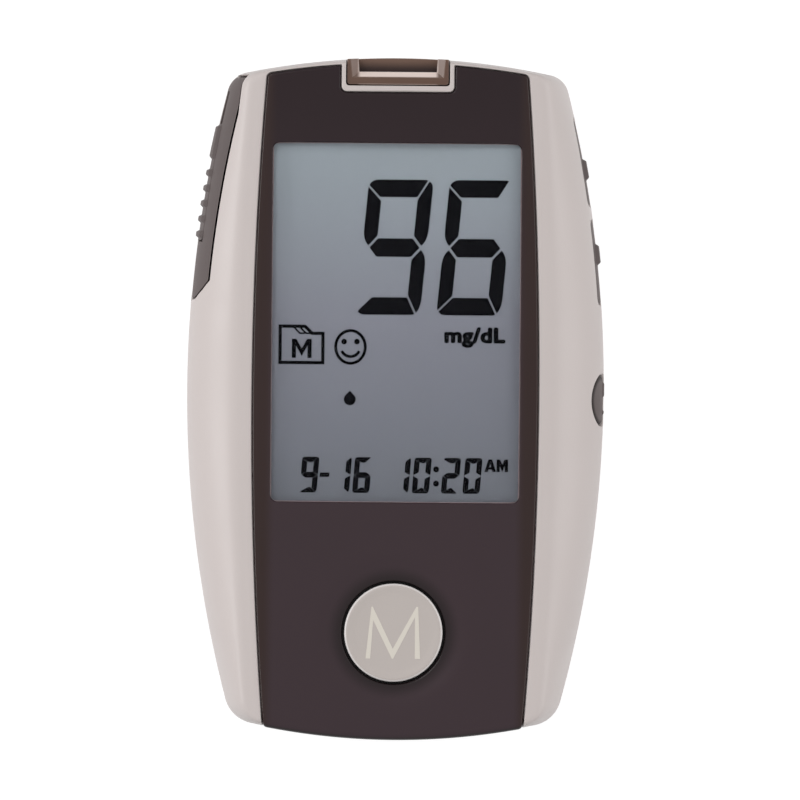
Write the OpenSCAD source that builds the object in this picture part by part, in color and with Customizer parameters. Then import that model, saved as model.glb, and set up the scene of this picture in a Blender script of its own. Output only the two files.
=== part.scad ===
// Hand-held blood glucose meter, lying on its back: +X right, +Y towards the strip port,
// +Z out of the display. The origin is the middle of the back, on the surface it lies on.

/* [Casing] */
// Length from the strip port end to the main key end
body_l = 96; // [94:0.5:100]
// Width across the widest place
body_w = 58.8; // [57:0.2:64]
// Thickness at the crown of the front panel
body_d = 24; // [24:0.2:28]
// Radius of each bowed side, seen from the front
side_r = 169; // [150:1:200]
// How far above the middle the casing is widest
widest_y = 1.2; // [0:0.2:3]
// Radius of the strip port end, seen from the front
top_r = 105; // [90:1:140]
// Radius of the main key end, seen from the front
bottom_r = 97; // [85:1:130]
// Corner radius, seen from the front
corner_r = 3.2; // [2.6:0.1:4.5]
// Height of the widest level above the back
widest_z = 12; // [11.5:0.1:13]
// Height of the parting plane between the two case halves
part_z = 10; // [9.8:0.1:10.2]
// Wall of both case halves
wall = 2.2; // [2:0.1:2.4]
// Radius of the crowned front, across the width
crown_r = 250; // [220:5:400]
// Angle at which the shoulder arc meets the flat strip beside the panel
shoulder_angle = 65; // [58:1:72]
// Bulge exponent of the rear edge, 2 is an ellipse
rear_bulge = 2.4; // [2:0.1:3]
// Inset of the flat back from the widest level, at the sides
rear_side_inset = 7; // [5:0.2:8]
// Inset of the flat back from the widest level, at the ends
rear_end_inset = 4; // [3:0.2:4]
// Thickness of the rear case floor
floor_t = 1.8; // [1.4:0.1:2.2]

/* [Front panel] */
// Width of the dark panel at its middle
panel_w = 40.1; // [39.6:0.1:41]
// Radius of the panel's bowed sides
panel_side_r = 585; // [400:5:800]
// White rim left between the panel and the strip port end
rim_w = 1; // [0.8:0.1:1.4]
// Radius of the panel's upper edge
panel_top_r = 112; // [100:1:140]
// Thickness of the panel at the crown
panel_t = 2; // [1.8:0.1:2.4]
// Gap all round between the panel and the case
panel_gap = 0.15; // [0.1:0.05:0.25]
// Width of the flat white strip beside the panel
facet_w = 2.6; // [2:0.1:3]
// Thickness of the part of the panel that wraps over the end
chin_t = 1.4; // [1.2:0.1:1.8]
// Thickness of the case deck that the panel lies on
deck_t = 1.4; // [1.2:0.1:1.8]

/* [Display] */
// Width of the clear window
window_w = 35; // [34:0.2:36]
// Length of the clear window
window_l = 50.5; // [49:0.5:51]
// Panel left between the window and the strip port end
window_top = 12.1; // [11.8:0.05:12.7]
// Corner radius of the window
window_corner_r = 1.1; // [0.8:0.1:2]
// Width of the deck ledge that carries the window
window_ledge = 1; // [0.8:0.1:1.4]
// Width of the liquid crystal cell
lcd_w = 36; // [35.6:0.1:36.4]
// Length of the liquid crystal cell
lcd_l = 52; // [51.6:0.1:52.2]
// Thickness of the liquid crystal cell
lcd_t = 1.8; // [1.6:0.1:2]
// Thickness of the foam dust gasket
gasket_t = 0.6; // [0.4:0.1:0.8]
// Thickness of the backlight panel
backlight_t = 2; // [1.8:0.1:2.2]
// Wall of the display holder
holder_wall = 1.1; // [0.9:0.1:1.2]
// Floor of the display holder
holder_floor = 0.8; // [0.6:0.1:1]
// Length along the board taken by each elastomer strip
strip_seat_l = 2.2; // [1.8:0.1:2.6]

/* [Circuit board] */
// Thickness of the board
board_t = 1.2; // [0.8:0.1:1.2]
// Inset of the board's edge from the widest outline
board_inset = 5.2; // [5:0.1:5.6]
// Diameter of the buzzer
buzzer_d = 8.4; // [7:0.2:9]
// Height of the buzzer
buzzer_h = 2.6; // [2:0.1:3]

/* [Main key] */
// Diameter of the main key
key_d = 13.8; // [12:0.2:14.2]
// Centre of the main key above the main key end
key_inset = 15.1; // [14.5:0.1:16]
// Gap all round the main key
key_gap = 0.35; // [0.25:0.05:0.45]
// Travel of the main key
key_travel = 0.8; // [0.5:0.1:0.9]
// Radius of the shallow dish round the main key
dish_r = 10.6; // [9.8:0.1:11]
// Depth of the dish
dish_depth = 0.7; // [0.4:0.1:0.8]
// Width of the flange that keeps the key in
key_flange_w = 1.5; // [1.2:0.1:1.8]
// Stroke width of the key's legend
legend_stroke = 0.8; // [0.6:0.1:1]

/* [Side keys] */
// Length of the upper side key
up_key_l = 10.4; // [9.6:0.2:10.6]
// Centre of the upper side key below the strip port end
up_key_inset = 15.3; // [15:0.1:15.4]
// Length of the lower side key
down_key_l = 11.6; // [10.6:0.2:11.6]
// Centre of the lower side key below the strip port end
down_key_inset = 28.6; // [28.6:0.1:29]
// Diameter of the round light key
light_key_d = 7.4; // [6.6:0.2:7.4]
// Centre of the round light key above the middle
light_key_y = -0.2; // [-1:0.1:0.4]
// Height of the round light key's centre
light_key_z = 14.3; // [14.1:0.1:14.4]
// Lowest level of the two long side keys
side_key_z0 = 10.8; // [10.6:0.1:11]
// Height of the two long side keys
side_key_h = 5.2; // [4.6:0.1:5.4]
// Gap all round each side key
side_key_gap = 0.2; // [0.15:0.05:0.25]
// Travel of each side key
side_key_travel = 0.4; // [0.3:0.05:0.45]
// How far the nubs stand out
nub_h = 0.5; // [0.3:0.1:0.6]

/* [Strip port] */
// Width of the port piece
port_w = 14.3; // [13.4:0.1:14.6]
// Length of the port piece along the meter
port_l = 3.8; // [3.6:0.1:4]
// Wall of the white frame round the port
port_frame_w = 0.85; // [0.7:0.05:1.1]
// Gap round the port piece
port_gap = 0.1; // [0.05:0.05:0.15]
// Width of the test strip channel
strip_w = 6.4; // [5.6:0.1:7]
// Height of the test strip channel
strip_h = 0.9; // [0.7:0.05:1.1]
// Width of the connector behind the port
connector_w = 11.2; // [10.4:0.2:12]
// Length of the connector along the meter
connector_l = 5.5; // [5.2:0.1:5.7]

/* [Strip ejector] */
// Lower tip of the grey side track below the strip port end
track_inset = 34; // [32:0.2:35]
// Depth of the grey side track below the widest outline
track_t = 2.2; // [2:0.05:2.3]
// Wall behind the side track
track_back_t = 1.4; // [1.2:0.1:1.6]
// Length of the slider along the side
slider_l = 16.4; // [14:0.2:17]
// Centre of the slider below the strip port end
slider_inset = 17.7; // [17.6:0.1:18.2]
// Height of the slider
slider_h = 5.6; // [5:0.1:6]
// Thickness of the slider plate
slider_t = 1.3; // [1.1:0.1:1.4]
// Swing of the slider about the centre of the bowed side, in degrees
slider_swing = 1.5; // [1.2:0.05:1.5]
// Distance of the drive pin in from the side
pin_inset = 7; // [6.6:0.1:7.4]
// Radius of the drive pin
pin_r = 0.8; // [0.6:0.05:0.9]
// Thickness of the pusher plate
pusher_t = 1.2; // [1:0.1:1.4]
// Pitch of the grip ribs
rib_pitch = 2.16; // [1.9:0.02:2.2]
// How far the grip ribs stand out
rib_h = 0.45; // [0.3:0.05:0.6]

/* [Battery] */
// Diameter of one AAA cell
cell_d = 10.5; // [10.2:0.1:10.5]
// Length of one AAA cell with its button
cell_l = 44.5; // [43.5:0.5:44.5]
// Gap between the two cells
cell_space = 1.3; // [0.8:0.1:1.6]
// Room beside, below and above each cell
cell_gap = 0.3; // [0.2:0.05:0.4]
// Length of each contact spring
contact_l = 3; // [2.6:0.1:3.2]
// Thickness of the contact plates
plate_t = 0.4; // [0.3:0.05:0.5]
// Centre of the battery well above the main key end
well_inset = 32; // [31.8:0.1:32.4]
// Wall and ceiling of the battery well
well_wall = 1; // [0.8:0.1:1.1]
// Thickness of the battery door
door_t = 1.6; // [1.4:0.1:1.7]
// Gap round the battery door
door_gap = 0.15; // [0.1:0.05:0.25]
// Width of the ledge that carries the door
door_ledge = 2.4; // [2:0.1:2.6]
// Radius of the door's hinge pins
hinge_pin_r = 0.8; // [0.6:0.05:0.9]
// Radial clearance of each hinge pin
hinge_fit = 0.06; // [0.03:0.01:0.1]

/* [Screws] */
// Shank radius of the case screws
screw_r = 1; // [0.8:0.05:1.1]
// Head radius of the case screws
screw_head_r = 1.9; // [1.6:0.1:2]
// Radius of the screw bosses
boss_r = 2.4; // [2.2:0.1:2.6]
// Distance of the case screws in from the widest outline, strip port end
top_screw_side = 10.9; // [10.6:0.1:11.4]
// Distance of the case screws from the strip port end
top_screw_inset = 7; // [6.8:0.1:7.4]
// Distance of the case screws in from the widest outline, main key end
bottom_screw_side = 11; // [10.8:0.1:11.4]
// Distance of the case screws from the main key end
bottom_screw_inset = 7.6; // [7.4:0.1:8]
// Shank radius of the board screws
board_screw_r = 0.8; // [0.6:0.05:0.9]

/* [Hidden] */

$fn = 48;
eps = 0.01;         // overlap that joins pieces of one solid
out = 4;            // how far a cutter runs past the body
fit = 0.1;          // small clearance between neighbours
far_x = body_w / 2 + out;
far_y = body_l / 2 + out;

// Places along the meter, each counted from the end that the piece belongs to
top_end = body_l / 2;
low_end = -body_l / 2;
window_y = top_end - window_top - window_l / 2;
key_y = -low_end - key_inset;
up_key_y = top_end - up_key_inset;
down_key_y = top_end - down_key_inset;
track_tip_y = top_end - track_inset;
slider_y = top_end - slider_inset;
well_y = low_end + well_inset;
top_screw_x = body_w / 2 - top_screw_side;
bottom_screw_x = body_w / 2 - bottom_screw_side;
top_screw_y = top_end - top_screw_inset;
bottom_screw_y = -low_end - bottom_screw_inset;

// Levels, counted down from the crown of the front
deck_top = body_d - panel_t;
deck_bottom = deck_top - deck_t;
lcd_top = deck_bottom - gasket_t;
lcd_bottom = lcd_top - lcd_t;
backlight_bottom = lcd_bottom - backlight_t;
board_top = backlight_bottom - holder_floor;
board_bottom = board_top - board_t;
board_side_room = 1.8;    // height of the wide cavity above the board
cavity_step_z = board_top + board_side_room;

// Battery levels, counted up from the back
cell_z = door_t + cell_gap + cell_d / 2;
well_ceiling = cell_z + cell_d / 2 + cell_gap / 2;
cell_x = (cell_d + cell_space) / 2;
well_half_w = cell_x + cell_d / 2 + cell_gap;
well_l = cell_l + contact_l + 2 * plate_t;
well_y0 = well_y - well_l / 2;
well_y1 = well_y + well_l / 2;
door_seat = door_t + door_gap;
barrel_r = door_t;
trough_r = barrel_r + door_gap;
hinge_y = well_y1 + well_wall + trough_r;
door_half_w = well_half_w + door_ledge;
door_end_y = well_y0 - door_ledge;
hinge_pin_l = 1.4;
seat_t = 1.5;

// Centre of the circle that each bowed side follows; the left side's is on the right
side_centre_x = side_r - body_w / 2;

// ---------- outlines ----------
arc_steps = [4, 3, 12, 3, 4];   // main key end, corner, side, corner, strip port end: right half

// Where two circles of radii ra and rb round a and b meet, on the left of the line from a to b
function meet(a, ra, b, rb) =
    let (d = norm(b - a), u = (b - a) / d, k = (ra * ra - rb * rb + d * d) / (2 * d))
    a + k * u + sqrt(ra * ra - k * k) * [-u[1], u[0]];
function angle_from(c, p) = atan2(p[1] - c[1], p[0] - c[0]);
function arc(c, r, a0, a1, n) =
    [for (i = [0:n]) let (a = a0 + (a1 - a0) * i / n) c + r * [cos(a), sin(a)]];
function drop_first(list) = [for (i = [1:len(list) - 1]) list[i]];

// Right half of an outline of four bowed edges with rounded corners, from the middle of the lower
// edge to the middle of the upper one: hw half width, rs side radius, ys its level, yt and rt the
// upper edge's apex and radius, yb and rb the lower edge's, rc the corner radius
function half_outline(hw, rs, ys, yt, rt, yb, rb, rc) =
    let (
        cs = [hw - rs, ys], ct = [0, yt - rt], cb = [0, yb + rb],
        low = meet(cb, rb - rc, cs, rs - rc),
        high = meet(cs, rs - rc, ct, rt - rc),
        bottom_end = angle_from(cb, low), side_start = angle_from(cs, low),
        side_end = angle_from(cs, high), top_start = angle_from(ct, high)
    )
    concat(
        arc(cb, rb, -90, bottom_end, arc_steps[0]),
        drop_first(arc(low, rc, bottom_end, side_start, arc_steps[1])),
        drop_first(arc(cs, rs, side_start, side_end, arc_steps[2])),
        drop_first(arc(high, rc, side_end, top_start, arc_steps[3])),
        drop_first(arc(ct, rt, top_start, 90, arc_steps[4]))
    );
// The whole outline: the right half and its mirror image
function whole(half) =
    concat(half, [for (i = [len(half) - 2:-1:1]) [-half[i][0], half[i][1]]]);
// The widest outline of the casing, set in by d
function shell_line(d) = whole(half_outline(
    body_w / 2 - d, side_r - d, widest_y, body_l / 2 - d, top_r - d,
    -body_l / 2 + d, bottom_r - d, max(corner_r - d, 0.6)));
// The front panel's outline, grown by d; its lower edge follows the casing
panel_corner_r = 1.4;
function panel_line(d, low) = whole(half_outline(
    panel_w / 2 + d, panel_side_r + d, 0, body_l / 2 - rim_w + d, panel_top_r + d,
    -body_l / 2 - low, bottom_r + low, panel_corner_r + d));
// The edge where the shoulder meets the flat strip beside the panel
rim_round = 0.5;
plateau_corner_r = 2.2;
plateau = whole(half_outline(
    panel_w / 2 + facet_w, panel_side_r + facet_w, 0, body_l / 2 - rim_round, top_r - rim_round,
    -body_l / 2 + rim_round, bottom_r - rim_round, plateau_corner_r));
widest = shell_line(0);
// The flat back; its sides and ends have their own insets
back = whole(half_outline(
    body_w / 2 - rear_side_inset, side_r - rear_side_inset, widest_y,
    body_l / 2 - rear_end_inset, top_r - rear_end_inset,
    -body_l / 2 + rear_end_inset, bottom_r - rear_end_inset, corner_r));

// ---------- casing form ----------
function crown_z(x) = body_d - x * x / (2 * crown_r);
// Share of the inset that is left at shoulder angle a
function shoulder_s(a) = (cos(a) - cos(shoulder_angle)) / (1 - cos(shoulder_angle));
function shoulder_c(a) = sin(a) / sin(shoulder_angle);
function rear_s(c) = pow(max(1 - pow(c, rear_bulge), 0), 1 / rear_bulge);
function front_ring(a) = [
    for (i = [0:len(widest) - 1])
        let (
            p = plateau[i] + (widest[i] - plateau[i]) * shoulder_s(a),
            top = crown_z(plateau[i][0])
        )
        [p[0], p[1], widest_z + (top - widest_z) * shoulder_c(a)]];
function rear_ring(z) = [
    for (i = [0:len(widest) - 1])
        let (p = back[i] + (widest[i] - back[i]) * rear_s((widest_z - z) / widest_z))
        [p[0], p[1], z]];

// A solid through rings of equal length, lowest ring first; where crowned, its top is made of
// strips across the width, because the top ring isn't flat
module ring_solid(rings, crowned) {
    n = len(rings[0]);
    m = len(rings) - 1;
    h = n / 2;
    sides = [
        for (k = [0:m - 1]) for (i = [0:n - 1])
            let (j = (i + 1) % n, a = k * n + i, b = k * n + j, c = b + n, d = a + n)
            each [[d, c, b], [d, b, a]]];
    flat_top = [[for (i = [n - 1:-1:0]) m * n + i]];
    crown_top = concat(
        [[m * n, m * n + n - 1, m * n + 1]],
        [for (i = [1:h - 2]) [m * n + i, m * n + n - i, m * n + n - i - 1, m * n + i + 1]],
        [[m * n + h - 1, m * n + h + 1, m * n + h]]);
    polyhedron(
        points = [for (r = rings) each r],
        faces = concat([[for (i = [0:n - 1]) i]], sides, crowned ? crown_top : flat_top));
}
shoulder_steps = 6;
module front_form() ring_solid(
    concat([rear_ring(part_z)],
        [for (k = [0:shoulder_steps]) front_ring(shoulder_angle * k / shoulder_steps)]),
    true);
rear_steps = 6;
rear_start = asin(pow((widest_z - part_z) / widest_z, rear_bulge / 2));
module rear_form() ring_solid(
    [for (k = [rear_steps:-1:0])
        let (a = rear_start + (90 - rear_start) * k / rear_steps)
        rear_ring(widest_z * (1 - pow(sin(a), 2 / rear_bulge)))],
    false);

module prism(points, z0, z1) translate([0, 0, z0]) linear_extrude(z1 - z0) polygon(points);
module block(x0, x1, y0, y1, z0, z1) translate([x0, y0, z0]) cube([x1 - x0, y1 - y0, z1 - z0]);
module rod(x, y, z0, z1, r) translate([x, y, z0]) cylinder(h = z1 - z0, r = r);
function round_rect(w, l, r) = [
    for (c = [[1, -1, -90], [1, 1, 0], [-1, 1, 90], [-1, -1, 180]]) for (i = [0:4])
        let (a = c[2] + 22.5 * i)
        [c[0] * (w / 2 - r) + r * cos(a), c[1] * (l / 2 - r) + r * sin(a)]];
module plate(x, y, w, l, r, z0, z1)
    translate([x, y, z0]) linear_extrude(z1 - z0) polygon(round_rect(w, l, r));
module crown_body(drop)
    translate([0, far_y, body_d - crown_r - drop]) rotate([90, 0, 0])
        cylinder(h = 2 * far_y, r = crown_r, $fn = 720);
// Mirrored copies either side of the middle
module both_sides() { children(); mirror([1, 0, 0]) children(); }

// ---------- places ----------
window_x0 = window_w / 2 - window_ledge;
holder_w = lcd_w + 2 * fit + 2 * holder_wall;
holder_l = lcd_l + 2 * fit + 2 * holder_wall;
key_hole_r = key_d / 2 + key_gap;
port_y1 = body_l / 2 - fit;
port_y0 = port_y1 - port_l;
frame_x = port_w / 2 + port_gap + port_frame_w;
frame_y = port_y0 - port_gap - port_frame_w;
connector_y1 = port_y0 - 0.25;
connector_y0 = connector_y1 - connector_l;
strip_z = board_top + 2.6;
strip_top = strip_z + strip_h;
port_z0 = board_top + 0.2;
boss_z = part_z;
case_screws_at = [
    [top_screw_x, top_screw_y], [-top_screw_x, top_screw_y],
    [bottom_screw_x, -bottom_screw_y], [-bottom_screw_x, -bottom_screw_y]];
board_post_r = board_screw_r + 1;
board_screws_at = [
    [11.5, top_end - 8.1], [-11.5, top_end - 8.1], [15, low_end + 24], [-15, low_end + 24]];
board_edge_y = connector_y1 + fit;

// Angle of the right side's outline at level y, and the outline's x there
function side_angle(y) = asin((y - widest_y) / side_r);
function side_x(y) = side_r * cos(side_angle(y)) - side_centre_x;
// Width of the shoulder at level y
function shoulder_w(y) =
    side_x(y) - (panel_w / 2 + facet_w - y * y / (2 * panel_side_r));
// Inset of the casing's surface at height z, at level y
function surface_inset(y, z) = z < widest_z
    ? rear_side_inset * (1 - rear_s((widest_z - z) / widest_z))
    : let (c = (z - widest_z) / (crown_z(panel_w / 2 + facet_w) - widest_z),
           a = asin(min(c * sin(shoulder_angle), 1)))
      shoulder_w(y) * (1 - shoulder_s(a));

// A ring about the right or left side's centre, between set-in depths d0 (inner) and the casing's
// surface grown by proud, from height z0 to z1
skin_steps = 4;
module skin(side, y, d0, proud, z0, z1)
    translate([-side * side_centre_x, widest_y, 0]) rotate_extrude($fn = 360) polygon(concat(
        [[side_r - d0, z1], [side_r - d0, z0]],
        [for (i = [0:skin_steps]) let (z = z0 + (z1 - z0) * i / skin_steps)
            [side_r - surface_inset(y, z) + proud, z]]));
// A plain ring about the side's centre, between two depths
module hoop(side, d0, d1, z0, z1)
    translate([-side * side_centre_x, widest_y, 0]) rotate_extrude($fn = 360)
        polygon([[side_r - d0, z0], [side_r - d1, z0], [side_r - d1, z1], [side_r - d0, z1]]);
// What lies on one side between two levels
module side_band(side, y0, y1)
    translate([side > 0 ? 0 : -far_x, y0, -eps]) cube([far_x, y1 - y0, body_d + 1]);
// Places children at the side's outline at level y, with +X pointing out of the casing
module at_side(side, y)
    translate([side * side_x(y), y, 0]) rotate([0, 0, side > 0 ? side_angle(y) : 180 - side_angle(y)])
        children();

// ---------- casing pieces ----------
white = [0.84, 0.81, 0.79];
dark = [0.24, 0.19, 0.2];
grey = [0.42, 0.38, 0.38];

key_flange_depth = 0.9;
wall_gap = 0.3;
module long_key_window(y, l)
    intersection() {
        hoop(1, wall + 1, -out, side_key_z0 - side_key_gap, side_key_z0 + side_key_h + side_key_gap);
        side_band(1, y - l / 2 - side_key_gap, y + l / 2 + side_key_gap);
    }
track_reach = 13.4;       // how far the track may reach in from the widest level
track_z1 = deck_top - 0.6;
track_top_y = body_l / 2 - 2.4;
track_full_y = track_tip_y + 6.6;
track_mid_z = (part_z + track_z1) / 2 - 2;
// Side view of the track: a bar with a pointed lower end
module track_region(grow)
    translate([-far_x, 0, 0]) rotate([90, 0, 90]) linear_extrude(out + track_reach) polygon([
        [track_tip_y - grow, track_mid_z - 1.6], [track_tip_y - grow, track_mid_z + 1.6],
        [track_tip_y + 1.6, track_mid_z + 4.6 + grow], [track_full_y - 2.2, track_z1 - 0.7 + grow],
        [track_full_y, track_z1 + grow], [track_top_y + grow, track_z1 + grow],
        [track_top_y + grow, part_z - (grow > 0 ? 1 : 0)],
        [track_tip_y - grow + 1.5, part_z - (grow > 0 ? 1 : 0)]]);
slider_z0 = part_z + 0.5;
slider_z1 = slider_z0 + slider_h;
arm_z0 = slider_z0 + 0.2;
pusher_z1 = board_bottom - 0.6;
pusher_z0 = pusher_z1 - pusher_t;
arm_z1 = pusher_z0 - fit;
arm_w = 3;
slider_path = side_r * slider_swing * PI / 180;
arm_room = 1;
arm_y0 = slider_y - arm_w / 2 - arm_room;
arm_y1 = slider_y + arm_w / 2 + slider_path + arm_room;
pin_angle = side_angle(slider_y);
pin_x = side_centre_x - (side_r - pin_inset) * cos(pin_angle);
pin_y = widest_y + (side_r - pin_inset) * sin(pin_angle);
pin_x_end = side_centre_x - (side_r - pin_inset) * cos(pin_angle + slider_swing);
pin_y_end = widest_y + (side_r - pin_inset) * sin(pin_angle + slider_swing);
pusher_travel = pin_y_end - pin_y;

chin_wall = 1.2;         // wall between the cavity and the panel's wrapped end
chin_inner_r = bottom_r - chin_t - panel_gap - chin_wall;
deck_side_room = 1.9;    // how far the upper cavity reaches beyond the panel

module front_case() color(white) {
    track_back = track_t + fit + track_back_t;
    difference() {
        front_form();
        // hollow: wide below the step, narrow above it, with a backing wall behind the track
        translate([0, 0, part_z - 1]) linear_extrude(cavity_step_z - part_z + 1) difference() {
            intersection() {
                polygon(shell_line(wall));
                translate([0, -body_l / 2 + bottom_r]) circle(r = chin_inner_r, $fn = 360);
            }
            difference() {
                translate([-far_x, track_tip_y - 2]) square([out + track_reach + 4, far_y]);
                polygon(shell_line(track_back));
            }
        }
        prism(whole(half_outline(
            panel_w / 2 + deck_side_room, panel_side_r, 0, body_l / 2 - wall, top_r - wall,
            -body_l / 2 + bottom_r - chin_inner_r, chin_inner_r, 2)),
            part_z - 1, deck_bottom);
        // pocket for the panel, less the frame round the strip port
        difference() {
            prism(panel_line(panel_gap, out), deck_top, body_d + 1);
            block(-frame_x, frame_x, frame_y, far_y, deck_top - 1, body_d + 2);
        }
        // room for the part of the panel that wraps over the end
        intersection() {
            prism(panel_line(panel_gap, out), part_z - 1, body_d);
            translate([0, -body_l / 2 + bottom_r, part_z - 1]) difference() {
                cylinder(h = body_d, r = bottom_r + out, $fn = 360);
                translate([0, 0, -1]) cylinder(
                    h = body_d + 2, r = bottom_r - chin_t - panel_gap, $fn = 360);
            }
            block(-far_x, far_x, -far_y, 0, part_z - 1, body_d);
        }
        // display and main key openings in the deck
        block(-window_x0, window_x0, window_y - window_l / 2 + window_ledge,
            window_y + window_l / 2 - window_ledge, deck_bottom - 1, deck_top + 1);
        rod(0, -key_y, deck_bottom - 1, deck_top + 1, key_hole_r);
        // strip port
        block(-port_w / 2 - port_gap, port_w / 2 + port_gap, port_y0 - port_gap, far_y,
            port_z0 - port_gap, body_d + 1);
        // side keys
        long_key_window(up_key_y, up_key_l);
        long_key_window(down_key_y, down_key_l);
        translate([0, light_key_y, light_key_z]) rotate([0, 90, 0])
            cylinder(h = far_x, r = light_key_d / 2 + side_key_gap);
        // side track, and the slot its arm passes through
        difference() {
            track_region(fit);
            prism(shell_line(track_t + fit), 0, body_d + 1);
        }
        intersection() {
            hoop(-1, track_back + 1, -out, part_z - 1, arm_z1 + 0.2);
            side_band(-1, arm_y0, arm_y1);
        }
    }
    // screw bosses and board posts hang from the deck
    for (p = case_screws_at) difference() {
        rod(p[0], p[1], boss_z, deck_bottom + 0.5, boss_r);
        rod(p[0], p[1], boss_z - 1, boss_z + screw_reach + 0.4, screw_r + 0.02);
    }
    for (p = board_screws_at) difference() {
        rod(p[0], p[1], board_top, deck_bottom + 0.5, board_post_r);
        rod(p[0], p[1], board_top - 1, board_top + 3.8, board_screw_r + 0.02);
    }
}

screw_seat_z = 3;
scoop_r = 4;
scoop_depth = 1.2;
label_x = -4;
label_y = top_end - 20;
label_w = 20;
label_l = 19;
label_depth = 0.2;
buzzer_x = body_w / 2 - 16.6;
buzzer_y = top_end - 24;
sound_hole_r = 0.5;
sound_ring_r = 1.8;

module rear_case() color(white) {
    step_z = widest_z / 2;
    screw_post_r = screw_head_r + 0.9;
    guide_w = pusher_arm_w / 2 + 0.15;
    difference() {
        union() {
            difference() {
                rear_form();
                prism(shell_line(wall), step_z, part_z + 1);
                prism(shell_line(rear_side_inset), floor_t, step_z + eps);
            }
            // battery well and the thick seat round the door
            block(-well_half_w - well_wall, well_half_w + well_wall,
                well_y0 - well_wall, well_y1 + well_wall, floor_t / 2, well_ceiling + well_wall);
            block(-door_half_w - 1.2, door_half_w + 1.2, door_end_y - 1, hinge_y + trough_r + 1,
                floor_t / 2, door_seat + seat_t);
            block(-door_half_w - hinge_pin_l - 0.8, door_half_w + hinge_pin_l + 0.8,
                well_y1, hinge_y + trough_r + 1, floor_t / 2, barrel_r + trough_r + 1);
            intersection() {
                rear_form();
                for (p = case_screws_at) rod(p[0], p[1], floor_t / 2, boss_z, screw_post_r);
            }
            // channel, shelf and spring stop of the strip pusher
            block(-guide_w - 1, guide_w + 1, guide_y0, guide_y1, floor_t / 2, pusher_z1);
            block(shelf_x - 1, shelf_x + 1, pin_y - 1, pin_y_end + 1, floor_t / 2, pusher_z0 - fit);
            block(spring_x - 1.5, spring_x + 1.5, spring_y1, spring_y1 + 1.2,
                floor_t / 2, pusher_z1);
        }
        // battery well, door seat and hinge trough
        block(-well_half_w, well_half_w, well_y0, well_y1, -1, well_ceiling);
        block(-door_half_w, door_half_w, door_end_y, hinge_y, -1, door_seat);
        translate([-door_half_w, hinge_y, barrel_r]) rotate([0, 90, 0])
            cylinder(h = 2 * door_half_w, r = trough_r);
        both_sides() translate([door_half_w - 0.5, hinge_y, barrel_r]) rotate([0, 90, 0])
            cylinder(h = hinge_pin_l + 0.6, r = hinge_pin_r + hinge_fit);
        // finger scoop at the free end of the door
        translate([0, door_end_y + 0.4, scoop_depth - scoop_r]) sphere(r = scoop_r);
        // room behind the hinge barrel for the opened door
        block(-door_half_w, door_half_w, hinge_y, hinge_y + trough_r, -1, barrel_r);
        // screw holes, sound holes and the channel
        for (p = case_screws_at) {
            rod(p[0], p[1], -1, screw_seat_z, screw_head_r + 0.15);
            rod(p[0], p[1], screw_seat_z - eps, boss_z + 1, screw_r + 0.15);
        }
        for (i = [0:4]) rod(buzzer_x + sound_ring_r * cos(72 * i),
            buzzer_y + sound_ring_r * sin(72 * i), -1, floor_t + 1, sound_hole_r);
        block(-guide_w, guide_w, guide_y0 - 1, guide_y1 + 1, pusher_z0 - fit, pusher_z1 + 1);
        // shallow bare label place
        plate(label_x, label_y, label_w, label_l, 1, -1, label_depth);
    }
}

end_round = 0.9;
module front_panel() color(dark)
    difference() {
        intersection() {
            union() {
                prism(panel_line(0, 0), deck_top, body_d + 1);
                intersection() {
                    prism(panel_line(0, 0), part_z + fit, deck_top + eps);
                    translate([0, -body_l / 2 + bottom_r, part_z]) difference() {
                        cylinder(h = body_d, r = bottom_r + 1, $fn = 360);
                        translate([0, 0, -1])
                            cylinder(h = body_d + 2, r = bottom_r - chin_t, $fn = 360);
                    }
                    block(-far_x, far_x, -far_y, 0, part_z - 1, body_d);
                }
            }
            crown_body(0);
            // rounded edge along the main key end
            translate([0, -body_l / 2 + bottom_r, 0]) rotate_extrude($fn = 360) polygon(concat(
                [[0, body_d + 1], [0, 0], [bottom_r, 0]],
                [for (i = [0:4]) let (a = 90 * i / 4)
                    [bottom_r - end_round * (1 - cos(a)), body_d - end_round * (1 - sin(a))]]));
        }
        plate(0, window_y, window_w, window_l, window_corner_r, deck_top - 1, body_d + 1);
        rod(0, -key_y, deck_top - 1, body_d + 1, key_hole_r);
        dish_sphere_r = (dish_r * dish_r + dish_depth * dish_depth) / (2 * dish_depth);
        translate([0, -key_y, body_d - dish_depth + dish_sphere_r])
            sphere(r = dish_sphere_r, $fn = 360);
        block(-frame_x - panel_gap, frame_x + panel_gap, frame_y - panel_gap, far_y,
            deck_top - 1, body_d + 1);
    }

module display_window() color([0.8, 0.85, 0.87, 0.4])
    intersection() {
        plate(0, window_y, window_w - 2 * fit, window_l - 2 * fit, window_corner_r - fit,
            deck_top, body_d);
        crown_body(0.08);
    }

module dust_gasket() color([0.12, 0.12, 0.12])
    difference() {
        block(-lcd_w / 2, lcd_w / 2, window_y - lcd_l / 2, window_y + lcd_l / 2,
            lcd_top, deck_bottom);
        block(-window_x0, window_x0, window_y - window_l / 2 + window_ledge,
            window_y + window_l / 2 - window_ledge, lcd_top - 1, deck_bottom + 1);
    }

module lcd_cell() color([0.5, 0.53, 0.55])
    block(-lcd_w / 2, lcd_w / 2, window_y - lcd_l / 2, window_y + lcd_l / 2, lcd_bottom, lcd_top);

strip_seat_y = lcd_l / 2 - 0.5 - strip_seat_l;
module backlight_panel() color([0.93, 0.93, 0.88]) {
    half_l = strip_seat_y - 0.6;
    block(-lcd_w / 2 + fit, lcd_w / 2 - fit, window_y - half_l, window_y + half_l,
        backlight_bottom, lcd_bottom);
}

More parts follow.
